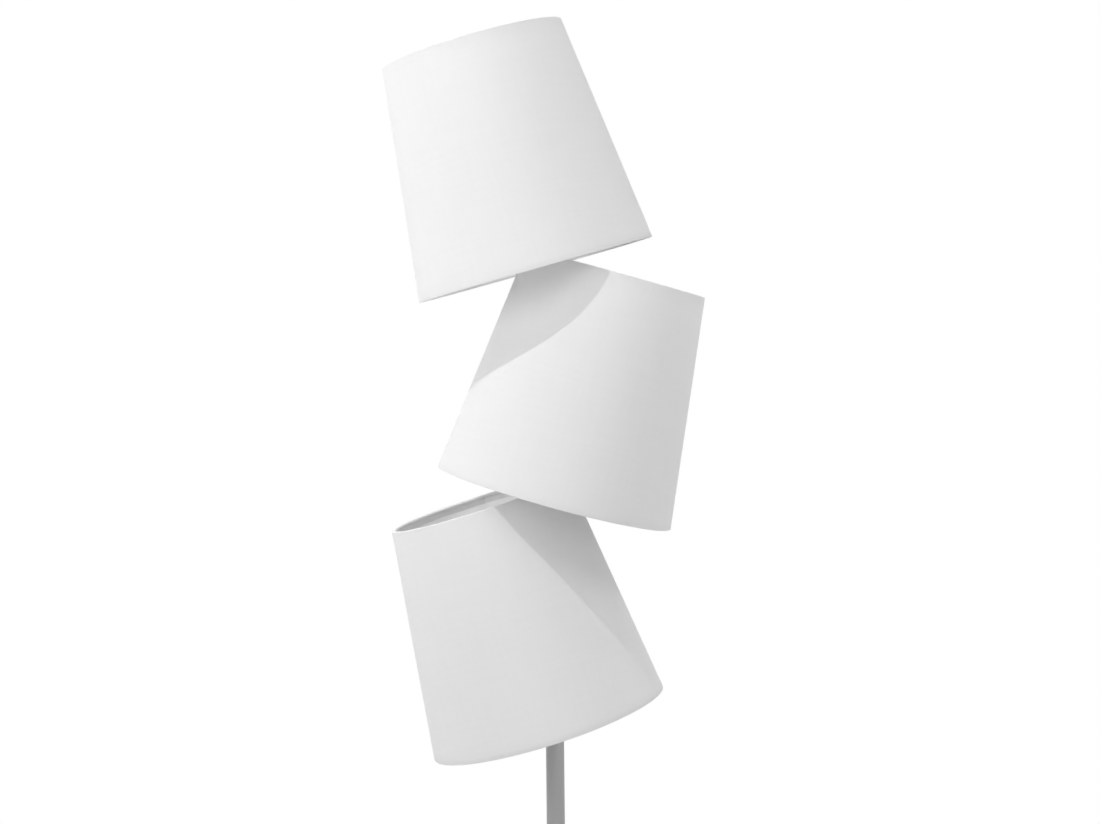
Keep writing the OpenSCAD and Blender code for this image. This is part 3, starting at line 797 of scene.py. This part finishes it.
class LAMP_OT_knuckles(bpy.types.Operator):
    """Cast the three swivel knuckles, with their stems and stem nuts"""

    bl_idname = "lamp.knuckles"
    bl_label = "Knuckles"

    def execute(self, context):
        casting = cast_coat(context.scene.lamp_metal)
        zinc = zinc_plate()
        pole_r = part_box("pole_tube_1")[1][0]
        for head in LAMP_HEADS:
            self.cast(head, pole_r, casting)
            self.stem(head, zinc)
            self.nut(head, zinc)
            paint_node(head.name + "_lead", sheath())
        return {"FINISHED"}

    def cast(self, head, pole_r, casting):
        low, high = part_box(head.name + "_knuckle")
        base_z, barrel_r = low[2], high[1]
        above = {"lower": "pole_tube_3", "middle": "pole_tube_4", "upper": "pole_cap_nut"}[head.name]
        top_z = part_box(above)[0][2]
        boss_top = head.reach("knuckle")[1]
        boss_r, boss_h, inset, bore = 8 * MM, 18 * MM, 0.6 * MM, 5.05 * MM
        spare, arm_end, seat, wide = 2 * MM, 3 * MM, 0.3 * MM, 60 * MM
        upright = Matrix.Identity(4)
        rounds = ((base_z + arm_end, upright), (top_z - arm_end, upright),
                  (boss_top - boss_h, head.place), (boss_top - spare, head.place))
        arm = convex("arm", [point for z, place in rounds
                             for point in circle_points(boss_r - inset, z, place)])
        parts = [cylinder("barrel", barrel_r, base_z - spare, top_z + spare, upright),
                 cylinder("boss", boss_r, boss_top - boss_h, boss_top + spare, head.place), arm]
        body = linked("casting", joined("casting", parts))
        remesh = body.modifiers.new("skin", "REMESH")
        remesh.mode, remesh.voxel_size = "VOXEL", 0.7 * MM
        smooth = body.modifiers.new("fillets", "SMOOTH")
        smooth.factor, smooth.iterations = 0.5, 12
        tools = [
            cylinder("under", wide, base_z - wide, base_z, upright, 24),
            cylinder("bore", bore, base_z - wide, top_z + wide, upright),
            cylinder("tube seat", pole_r + seat, top_z, top_z + wide, upright),
            cylinder("boss face", wide, boss_top, boss_top + wide, head.place, 24),
            cylinder("stem bore", bore, boss_top - 10 * MM, boss_top + wide, head.place)]
        # above the barrel only the boss goes on, so the rest of the barrel's spare length comes off
        slab_r = barrel_r + 0.4 * MM
        slab = linked("above", lathe("above", [
            (pole_r, top_z), (slab_r, top_z), (slab_r, top_z + wide), (pole_r, top_z + wide)],
            upright, turns=72, closed=True))
        boss_way = [point for z in (boss_top - boss_h, boss_top + wide)
                    for point in circle_points(boss_r + 0.3 * MM, z, head.place)]
        keep = linked("boss way", convex("boss way", boss_way))
        cut_away(slab, keep)
        cutters = [linked(mesh.name, mesh) for mesh in tools] + [slab]
        for cutter in cutters:
            cut_away(body, cutter)
        name = head.name + "_knuckle_casting"
        mesh = baked(body, name)
        for cutter in cutters + [keep]:
            drop(cutter)
        if len(mesh.polygons) < 100:
            raise RuntimeError(f"{name}: the casting came out empty")
        mesh.materials.clear()
        mesh.shade_smooth()
        mesh.set_sharp_from_angle(angle=radians(38))
        new_object(name, mesh, [casting], head.body, head.name + "_knuckle")

    def stem(self, head, zinc):
        low, high, bore, r = head.reach("stem")
        pitch, depth, plain, root_r = 1.0 * MM, 0.45 * MM, 0.6 * MM, r - 0.5 * MM
        rows, warp = threaded(low + plain, high - plain, r, depth, pitch, 0.8 * MM, 6)
        outline = [(bore, low), (root_r, low)] + rows + [(root_r, high), (bore, high)]
        turned(head.name + "_stem_threaded", outline, zinc, head.body, "plated_steel",
               head.name + "_stem", head.place, turns=48, warp=warp)

    def nut(self, head, zinc):
        low, high, bore, corner_r = head.reach("stem_nut")
        chamfer, edge = 0.9 * MM, 0.3 * MM
        outline = rounded([
            (bore, low, edge), (corner_r - chamfer, low), (corner_r, low + chamfer / 2),
            (corner_r, high - chamfer / 2), (corner_r - chamfer, high), (bore, high, edge)], closed=True)

        def six_sided(angle, rr, z):
            if rr < bore + 1 * MM:
                return rr, z
            turn = (angle % (pi / 3)) - pi / 6
            return min(rr, corner_r * cos(pi / 6) / cos(turn)), z

        turned(head.name + "_stem_nut_hexagon", outline, zinc, head.body, "plated_steel",
               head.name + "_stem_nut", head.place, turns=96, warp=six_sided, sharp=28)


# ------------------------------------------------------------------ holders

def hub_plate(head):
    """Lowest and highest place of the spider's centre plate on the head's axis."""
    r, s = head.points("shade_spider")
    bore = s[r < r.min() + 0.2 * MM]
    return bore.min(), bore.max()


class LAMP_OT_holders(bpy.types.Operator):
    """Make the three lamp holders: cap, threaded body and the two shade rings"""

    bl_idname = "lamp.holders"
    bl_label = "Holders"

    def execute(self, context):
        settings = context.scene.lamp_holder
        plastic, ceramic, brass = holder_plastic(settings), steatite(), contact_brass()
        for head in LAMP_HEADS:
            self.cap(head, plastic)
            self.body(head, plastic, settings.body_pitch)
            self.rings(head, plastic)
            paint_node(head.name + "_holder_core", ceramic)
            paint_node(head.name + "_holder_contacts", brass)
        return {"FINISHED"}

    def cap(self, head, plastic):
        low, high, bore, r = head.reach("holder_cap")
        body_r = head.reach("holder_body")[3]
        neck_r, neck_h, dome_h, room = 7.5 * MM, 6 * MM, 26 * MM, 0.05 * MM
        shelf, inner_h = 2 * MM, 12 * MM
        outline = rounded([(bore, low, 0.3 * MM), (neck_r, low, 0.7 * MM), (neck_r, low + neck_h - 1 * MM)])
        outline += [(neck_r + (r - neck_r) * t, low + neck_h + (dome_h - neck_h) * t * t)
                    for t in np.linspace(0.06, 1, 22)]
        outline += rounded([(r, low + dome_h), (r, high, 0.6 * MM), (body_r + room, high, 0.3 * MM),
                            (body_r + room, low + dome_h)])[1:]
        outline += [(neck_r + (body_r - shelf - neck_r) * t, low + inner_h + (dome_h - inner_h) * t * t)
                    for t in np.linspace(1, 0, 14)]
        outline += [(bore, low + inner_h)]
        turned(head.name + "_holder_cap_moulding", outline, plastic, head.body, "holder_plastic",
               head.name + "_holder_cap", head.place, turns=112)

    def body(self, head, plastic, pitch):
        low, high, mouth_r, r = head.reach("holder_body")
        wall, depth = 1.4 * MM, 0.75 * MM
        rows, warp = threaded(low + 7.5 * MM, high - 1.2 * MM, r, depth, pitch, 1.2 * MM, 10)
        outline = [(r - wall, low), (r, low)] + rows
        outline += rounded([(r, high - 1 * MM), (r, high, 0.8 * MM), (mouth_r, high, 0.6 * MM),
                            (mouth_r, high - wall, 0.2 * MM), (r - wall, high - wall)])
        turned(head.name + "_holder_body_threaded", outline, plastic, head.body, "holder_plastic",
               head.name + "_holder_body", head.place, turns=112, warp=warp)

    def rings(self, head, plastic):
        r, s = head.points("shade_rings")
        bore, outer = r.min(), r.max()
        plate_low, plate_high = hub_plate(head)
        notches, depth, soft, edge = 12, 1.0 * MM, 0.7 * MM, 0.3 * MM

        def gripped(angle, rr, z):
            if rr < (bore + outer) / 2:
                return rr, z
            wave = 0.5 + 0.5 * cos(notches * angle)
            return rr - depth * wave ** 5, z

        meshes = []
        for low, high in ((s.min(), plate_low), (plate_high, s.max())):
            outline = rounded([(bore, low, edge), (outer, low, soft), (outer, high, soft),
                               (bore, high, edge)], closed=True)
            meshes.append(lathe("ring", outline, head.place, turns=notches * 16, closed=True, warp=gripped))
        name = head.name + "_shade_rings_gripped"
        new_object(name, joined(name, meshes, 35), [plastic], head.body,
                   head.name + "_shade_rings")


# ------------------------------------------------------------------ bulbs

class LAMP_OT_bulbs(bpy.types.Operator):
    """Make the three bulbs: opal glass and screw shell"""

    bl_idname = "lamp.bulbs"
    bl_label = "Bulbs"

    def execute(self, context):
        settings = context.scene.lamp_holder
        glass, shell, insulator = opal_glass(settings), rolled_shell(), black_glass()
        for head in LAMP_HEADS:
            self.glass(head, glass)
            self.shell(head, shell, insulator, settings.shell_pitch)
        return {"FINISHED"}

    def glass(self, head, glass):
        r, s = head.points("bulb_glass")
        low, high, ball_r, wall = s.min(), s.max(), r.max(), 1 * MM
        neck_r = r[s < low + 0.5 * MM].max()
        ball_s, shoulder = high - ball_r, radians(28)
        start = Vector((neck_r, low))
        end = Vector((ball_r * cos(shoulder), ball_s - ball_r * sin(shoulder)))
        reach = (end - start).length
        leave, arrive = reach * Vector((0.05, 1.0)), reach * Vector((sin(shoulder), cos(shoulder)))
        outline = []
        # the neck sweeps out to meet the ball along its own slope
        for t in np.linspace(0, 1, 20):
            p = (2 * t ** 3 - 3 * t ** 2 + 1) * start + (t ** 3 - 2 * t ** 2 + t) * leave
            p += (3 * t ** 2 - 2 * t ** 3) * end + (t ** 3 - t ** 2) * arrive
            outline.append(tuple(p))
        outline += [(ball_r * cos(a), ball_s + ball_r * sin(a))
                    for a in np.linspace(-shoulder, pi / 2, 34)[1:-1]]
        inner = [(max(rr - wall, 0), min(ss, high - wall)) for rr, ss in outline] + [(0, high - wall)]
        outline = outline + [(0, high)] + inner[::-1]
        turned(head.name + "_bulb_opal", outline, glass, head.bulb_body, "bulb_glass",
               head.name + "_bulb_glass", head.place, turns=96, sharp=50)

    def shell(self, head, shell, insulator, pitch):
        low, high, _, r = head.reach("bulb_cap")
        # rest keeps the foot contact just clear of the holder's centre contact
        tip, foot, rest, depth = 4 * MM, 6.5 * MM, 0.06 * MM, 0.95 * MM
        rows, warp = threaded(low + foot + 0.6 * MM, high - 4 * MM, r, depth, pitch, 1.5 * MM, 12)
        contact = rounded([(0, low + rest), (4 * MM, low + rest, 0.8 * MM),
                           (4.8 * MM, low + 1.3 * MM, 0.3 * MM), (5 * MM, low + 1.6 * MM)])
        glass = rounded([contact[-1], (8.5 * MM, low + 2.6 * MM, 1.5 * MM), (r - 3 * MM, low + tip)])
        metal = rounded([glass[-1], (r - 0.6 * MM, low + foot - 0.6 * MM, 1.4 * MM), (r, low + foot)])
        top = rounded([(r, high - 3.6 * MM), (r, high, 0.5 * MM), (0, high)])
        outline = contact + glass[1:] + metal[1:] + rows + top
        finishes = [0] * (len(contact) - 1) + [1] * (len(glass) - 1)
        finishes += [0] * (len(outline) - len(finishes))
        name = head.name + "_bulb_screw_shell"
        mesh = lathe(name, outline, head.place, turns=96, warp=warp, finishes=finishes, sharp=50)
        new_object(name, mesh, [shell, insulator], head.bulb_body, head.name + "_bulb_cap")


# ------------------------------------------------------------------ shades

class Cone:
    """Sizes of one shade's cloth in its head's own frame."""

    def __init__(self, head, settings):
        r, s = head.points("shade_cover")
        near = 3 * MM
        self.height = s.max()
        self.bottom_r = r[s < near].max()
        self.top_r = r[s > self.height - near].max()
        self.taper = (self.bottom_r - self.top_r) / (self.height - s[np.argmax(r)])
        self.wire_r = settings.wire_diameter / 2
        self.fold_r = self.wire_r + settings.hem_thickness
        self.edge = settings.edge_radius
        self.cloth = settings.cloth_thickness
        self.hem = settings.hem_thickness
        self.hem_height = settings.hem_height
        self.slope = atan2(self.bottom_r - self.top_r, self.height)

    def r(self, s):
        return self.bottom_r - self.taper * s

    def ring_r(self, s):
        return self.r(s) - self.cloth - self.wire_r


class LAMP_OT_shades(bpy.types.Operator):
    """Make the three cloth covers: a cut cone of cloth, lapped at the back and folded round its wires"""

    bl_idname = "lamp.shades"
    bl_label = "Shades"
    wall_steps = 48
    corner_steps = 5
    round_steps = 240
    ripple_height = 0.12 * MM

    def execute(self, context):
        settings = context.scene.lamp_shade
        cloth, liner = shade_fabric(settings), shade_liner(settings)
        for head in LAMP_HEADS:
            self.cover(head, settings, cloth, liner)
        return {"FINISHED"}

    def section(self, cone):
        """The cover's closed section from the outside down, round the wire, up inside and over the top.

        Each point has its radius, height and finish, and the way into the hem's turned-in cloth."""
        edge, lip = cone.edge, cone.cloth + cone.hem
        low, high = cone.fold_r, cone.height - cone.fold_r
        inner_fold = cone.cloth + cone.wire_r + cone.fold_r
        # the way from the wire to the glued lip, and the lip's own end: how high and how deep it is cut
        to_lip, end_height, end_depth, clear = 3.2 * MM, 0.25 * MM, 0.2 * MM, 0.05 * MM
        outline = []

        def add(r, s, finish="cloth", into=(0, 0)):
            outline.append((r, s, finish, into))

        def add_lip(away, from_wire):
            """The cloth's way from the wire (0) back against the wall (1)."""
            near = from_wire * from_wire * (3 - 2 * from_wire)
            s = away + (1 if away < high else -1) * from_wire * to_lip
            add(cone.r(s) - inner_fold * (1 - near) - lip * near, s, into=(1, 0))

        for step in range(self.wall_steps + 1):
            s = cone.height - edge + (2 * edge - cone.height) * step / self.wall_steps
            add(cone.r(s), s)
        corner = np.linspace(0, pi / 2, self.corner_steps + 1)[1:]
        fold = np.linspace(pi / 2, pi, 7)
        blend = np.linspace(0, 1, 7)[1:]
        for a in corner:
            add(cone.r(edge) - edge * (1 - cos(a)), edge * (1 - sin(a)))
        for a in fold:
            add(cone.ring_r(low) + cone.fold_r * cos(a), low - cone.fold_r * sin(a), into=(-cos(a), sin(a)))
        for t in blend:
            add_lip(low, t)
        low_lip, top_lip = cone.hem_height, cone.height - cone.hem_height
        add(cone.r(low_lip) - lip, low_lip - end_height, into=(1, 0))
        add(cone.r(low_lip) - lip + end_depth, low_lip, into=(1, 0))
        for s in np.linspace(low_lip + clear, top_lip - clear, 25):
            add(cone.r(s) - cone.cloth, s, "liner" if s < top_lip - 1 * MM else "cloth")
        add(cone.r(top_lip) - lip + end_depth, top_lip, into=(1, 0))
        add(cone.r(top_lip) - lip, top_lip + end_height, into=(1, 0))
        for t in blend[::-1]:
            add_lip(high, t)
        for a in fold[::-1]:
            add(cone.ring_r(high) + cone.fold_r * cos(a), high + cone.fold_r * sin(a),
                into=(-cos(a), -sin(a)))
        for a in corner[::-1]:
            add(cone.r(cone.height - edge) - edge * (1 - cos(a)), cone.height - edge * (1 - sin(a)))
        return outline

    def cover(self, head, settings, cloth, liner):
        cone = Cone(head, settings)
        outline = self.section(cone)
        back = head.local.to_3x3() @ Vector((0, 1, 0))
        seam = atan2(back.y, back.x) + settings.seam_turn
        width, gap = settings.seam_width / cone.bottom_r, settings.hem_gap / cone.top_r
        # the share of the lap that lies at its full height before it runs out
        flat_share = 0.3
        # round the cover: the gap between the hem's ends, the lap's sharp step and its slow end, the rest
        around = [(seam + gap * f, 0, open_end) for f, open_end in ((-1, 0), (-0.9, 1), (-0.1, 1))]
        for f in (0, 0.004, 0.03, 0.08, 0.2, 0.4, 0.6, 0.8, 1):
            left = max(0, 1 - (f - flat_share) / (1 - flat_share))
            rise = 0 if f == 0 else 1 if f < flat_share else left * left * (3 - 2 * left)
            around.append((seam + width * f, rise, 0))
        around += [(seam + width + (TURN - width - gap) * k / self.round_steps, 0, 0)
                   for k in range(1, self.round_steps)]
        apex = cone.bottom_r / cone.taper
        rows, turns = len(outline), len(around)
        points, faces, corner_uvs, face_finish = [], [], [], []
        for row, (r, s, _, into) in enumerate(outline):
            outside = row <= self.wall_steps + self.corner_steps or row >= rows - self.corner_steps
            lift = settings.seam_step * (1 if outside else -0.35)
            for angle, rise, open_end in around:
                spot = Vector((2.3 * cos(angle), 2.3 * sin(angle), s * 9 + 7))
                ripple = self.ripple_height * noise.noise(spot)
                depth = 0.85 * cone.hem * open_end
                reach = r + lift * rise + ripple + depth * into[0]
                place = Vector((reach * cos(angle), reach * sin(angle), s + depth * into[1]))
                points.append(head.place @ place)

        def on_cloth(row, k):
            """Where a point lies on the flat cut of the cloth."""
            slant = (apex - outline[row][1]) / cos(cone.slope)
            flat = (around[k % turns][0] + TURN * (k // turns) - seam - pi) * sin(cone.slope)
            return slant * sin(flat), slant * cos(flat)

        for row in range(rows):
            below = (row + 1) % rows
            for k in range(turns):
                corners = ((row, k), (row, k + 1), (below, k + 1), (below, k))
                faces.append([at * turns + step % turns for at, step in corners])
                corner_uvs += [on_cloth(at, step) for at, step in corners]
                face_finish.append(1 if outline[row][2] == "liner" else 0)
        name = head.name + "_shade_cloth"
        mesh = mesh_of(name, points, faces, corner_uvs, face_finish, sharp=50)
        new_object(name, mesh, [cloth, liner], head.shade_body, head.name + "_shade_cover")


class LAMP_OT_wires(bpy.types.Operator):
    """Make the shades' coated wires: rings, spokes, centre plate and their welds"""

    bl_idname = "lamp.wires"
    bl_label = "Wires"

    def execute(self, context):
        settings = context.scene.lamp_shade
        wire = coated_wire(settings)
        for head in LAMP_HEADS:
            cone = Cone(head, settings)
            self.top_ring(head, cone, wire)
            self.spider(head, cone, wire)
        return {"FINISHED"}

    def ring(self, head, r, s, wire_r):
        return tube_along("ring", circle_points(r, s, head.place, 192), wire_r, sides=16, closed=True)

    def top_ring(self, head, cone, wire):
        s = cone.height - cone.fold_r
        name = head.name + "_top_ring_wire"
        new_object(name, joined(name, [self.ring(head, cone.ring_r(s), s, cone.wire_r)], 60), [wire],
                   head.shade_body, head.name + "_shade_top_ring")

    def spider(self, head, cone, wire):
        inner = head.reach("shade_spider")[2]
        hub_low, hub_high = hub_plate(head)
        ring_r = head.reach("shade_rings")[3]
        hub_r, bore_edge, rim_edge = ring_r + 3.5 * MM, 0.2 * MM, 0.4 * MM
        outline = rounded([(inner, hub_low, bore_edge), (hub_r, hub_low, rim_edge),
                           (hub_r, hub_high, rim_edge), (inner, hub_high, bore_edge)], closed=True)
        meshes = [lathe("hub", outline, head.place, turns=128, closed=True),
                  self.ring(head, cone.ring_r(cone.fold_r), cone.fold_r, cone.wire_r)]
        foot = Vector((cone.ring_r(cone.fold_r), 0, cone.fold_r))
        slope = atan2(hub_low - foot.z, foot.x - ring_r)
        tip = Vector((ring_r + cone.wire_r / sin(slope) + 0.3 * MM, 0, (hub_low + hub_high) / 2))
        # the weld beads on the ring and on the plate, with their half sizes in millimetres
        welds = ((foot, (2.3, 3.2, 2.0)), (tip - Vector((0, 0, 0.4 * MM)), (2.2, 3.4, 1.6)))
        for spoke in range(3):
            turn = head.place @ Matrix.Rotation(TURN * spoke / 3, 4, "Z")
            path = [turn @ foot.lerp(tip, t) for t in np.linspace(0, 1, 24)]
            meshes.append(tube_along("spoke", path, cone.wire_r, sides=20))
            for centre, size in welds:
                meshes.append(self.weld(turn, centre, size, spoke))
        name = head.name + "_spider_wire"
        new_object(name, joined(name, meshes, 60), [wire], head.shade_body,
                   head.name + "_shade_spider")

    def weld(self, turn, centre, size, seed):
        """A small lumpy bead of weld metal under the coat."""
        bm = bmesh.new()
        bmesh.ops.create_icosphere(bm, subdivisions=3, radius=1)
        for v in bm.verts:
            lump = 1 + 0.12 * noise.noise(v.co * 2.2 + Vector((seed * 3.1, centre.x * 900, 1.7)))
            v.co = turn @ (centre + Vector([c * k * MM * lump for c, k in zip(v.co, size)]))
        mesh = bpy.data.meshes.new("weld")
        bm.to_mesh(mesh)
        bm.free()
        mesh.shade_smooth()
        return mesh


# ------------------------------------------------------------------ stage

class LAMP_OT_stage(bpy.types.Operator):
    """Set the camera, the lamps, the white room and the floor"""

    bl_idname = "lamp.stage"
    bl_label = "Stage"
    middle_height = 1.25
    # name, place, height of the spot on the pole's axis that it is aimed at, and power in watts
    softboxes = (
        ("left softbox", (-1.0, -0.6, 1.5), 1.4, 4.1),
        ("front softbox", (-0.3, -1.2, 1.4), 1.3, 1.4),
        ("right softbox", (0.9, -0.6, 1.2), 1.2, 1.7),
        ("high softbox", (0.7, -0.9, 2.3), 1.5, 3.6),
        ("back softbox", (0.2, 1.2, 1.3), 1.2, 1.6),
    )

    def execute(self, context):
        settings = context.scene.lamp_stage
        self.camera(context.scene, settings)
        self.key(settings)
        for softbox in self.softboxes:
            self.softbox(settings, *softbox)
        self.room(context.scene, settings)
        self.floor(settings)
        context.scene.view_settings.view_transform = "Standard"
        return {"FINISHED"}

    def camera(self, scene, settings):
        pitch, roll = settings.camera_pitch, settings.camera_roll
        down = Vector((0, -sin(pitch), -cos(pitch)))
        ahead = Vector((0, cos(pitch), -sin(pitch)))
        right = Vector((1, 0, 0))
        leaned_right = cos(roll) * right - sin(roll) * down
        leaned_up = -(sin(roll) * right + cos(roll) * down)
        data = bpy.data.cameras.new("camera")
        data.sensor_fit, data.sensor_width, data.lens = "HORIZONTAL", 36, settings.camera_lens
        data.clip_start, data.clip_end = 0.05, 60
        matrix = Matrix((leaned_right, leaned_up, -ahead)).transposed().to_4x4()
        matrix.translation = settings.camera_place
        scene.camera = linked("camera", data)
        scene.camera.matrix_world = matrix

    def key(self, settings):
        side, height = settings.key_azimuth, settings.key_elevation
        towards = Vector((-sin(side) * cos(height), -cos(side) * cos(height), sin(height)))
        data = bpy.data.lights.new("key", "POINT")
        data.energy, data.shadow_soft_size = settings.key_power, settings.key_radius
        lamp = linked("key", data)
        lamp.location = Vector((0, 0, self.middle_height)) + settings.key_distance * towards
        lamp.visible_camera = False

    def softbox(self, settings, name, place, aim_height, power):
        data = bpy.data.lights.new(name, "AREA")
        data.shape, data.size = "SQUARE", settings.softbox_width
        data.energy = power * settings.softbox_level
        lamp = linked(name, data)
        away = Vector(place) - Vector((0, 0, aim_height))
        lamp.matrix_world = Matrix.Translation(place) @ away.to_track_quat("Z", "Y").to_matrix().to_4x4()
        lamp.visible_camera = False

    def room(self, scene, settings):
        """A room that is seen white, and lights softly from the left, behind, above and below."""
        world = bpy.data.worlds.new("white room")
        scene.world = world
        world.use_nodes = True
        made = Nodes(world.node_tree)
        lit = made.nodes["Background"]
        lit.inputs["Color"].default_value = (1, 1, 1, 1)
        seen = made.node("ShaderNodeBackground", Color=(1, 1, 1, 1), Strength=1)
        way = made.node("ShaderNodeSeparateXYZ")
        made.links.new(made.node("ShaderNodeTexCoord").outputs["Generated"], way.inputs["Vector"])
        sides = (("X", -1, settings.room_left), ("Y", 1, settings.room_back),
                 ("Z", 1, settings.room_above), ("Z", -1, settings.room_below))
        level = 0
        for axis, sign, amount in sides:
            facing = made.math("MULTIPLY", way.outputs[axis], sign, use_clamp=True)
            level = made.math("MULTIPLY_ADD", facing, amount, level)
        made.links.new(level, lit.inputs["Strength"])
        path = made.node("ShaderNodeLightPath")
        shown = path.outputs["Is Camera Ray"]
        for ray in ("Is Glossy Ray", "Is Transmission Ray"):
            shown = made.math("MAXIMUM", shown, path.outputs[ray])
        both = made.mixed(shown, lit.outputs[0], seen.outputs[0])
        made.links.new(both, made.nodes["World Output"].inputs["Surface"])

    def floor(self, settings):
        radius = settings.floor_radius
        mesh = lathe("studio_floor", [(r, 0) for r in (0, 0.3, 0.8, 1.6, radius)], turns=96)
        mesh.flip_normals()
        floor = linked("studio_floor", mesh)
        made = Finish("studio floor", settings.floor_colour, 0.9)
        made.tint(made.noise(3, detail=3), 0.985, 1.01)
        made.bump(made.noise(260, detail=3), 0.1 * MM, 0.25)
        # the floor runs out into the white room before its edge
        split = made.node("ShaderNodeSeparateXYZ")
        made.links.new(made.place(), split.inputs["Vector"])
        squares = [made.math("MULTIPLY", split.outputs[k], split.outputs[k]) for k in (0, 1)]
        far = made.math("SQRT", made.math("ADD", *squares))
        fade = made.span(far, 0.9, 0.92 * radius, 0, 1)
        path = made.node("ShaderNodeLightPath")
        white = made.node("ShaderNodeEmission", Strength=1.0)
        shown = made.math("MULTIPLY", fade, path.outputs["Is Camera Ray"])
        both = made.mixed(shown, made.shader.outputs[0], white.outputs[0])
        made.links.new(both, made.nodes["Material Output"].inputs["Surface"])
        mesh.materials.append(made.material)


# ------------------------------------------------------------------ add-on

OPERATORS = (LAMP_OT_stage, LAMP_OT_base, LAMP_OT_pole, LAMP_OT_knuckles, LAMP_OT_holders,
             LAMP_OT_bulbs, LAMP_OT_shades, LAMP_OT_wires)
SETTINGS = (
    ("lamp_stage", LampStageSettings),
    ("lamp_shade", LampShadeSettings),
    ("lamp_metal", LampMetalSettings),
    ("lamp_holder", LampHolderSettings),
)


class LAMP_PT_panel(bpy.types.Panel):
    """Sizes, colours and makers of the lamp's pieces"""

    bl_idname = "LAMP_PT_panel"
    bl_label = "Floor lamp"
    bl_space_type = "VIEW_3D"
    bl_region_type = "UI"
    bl_category = "Floor lamp"

    def draw(self, context):
        for name, group in SETTINGS:
            box = self.layout.box()
            box.label(text=group.__doc__)
            for prop in group.__annotations__:
                box.prop(getattr(context.scene, name), prop)
        for operator in OPERATORS:
            self.layout.operator(operator.bl_idname)


def register():
    for cls in [group for _, group in SETTINGS] + list(OPERATORS) + [LAMP_PT_panel]:
        bpy.utils.register_class(cls)
    for name, group in SETTINGS:
        setattr(bpy.types.Scene, name, PointerProperty(type=group))


def unregister():
    for name, _ in SETTINGS:
        delattr(bpy.types.Scene, name)
    for cls in [LAMP_PT_panel] + list(OPERATORS)[::-1] + [group for _, group in SETTINGS][::-1]:
        bpy.utils.unregister_class(cls)


def main():
    register()
    for operator in OPERATORS:
        group, name = operator.bl_idname.split(".")
        getattr(getattr(bpy.ops, group), name)()


if __name__ == "__main__":
    main()
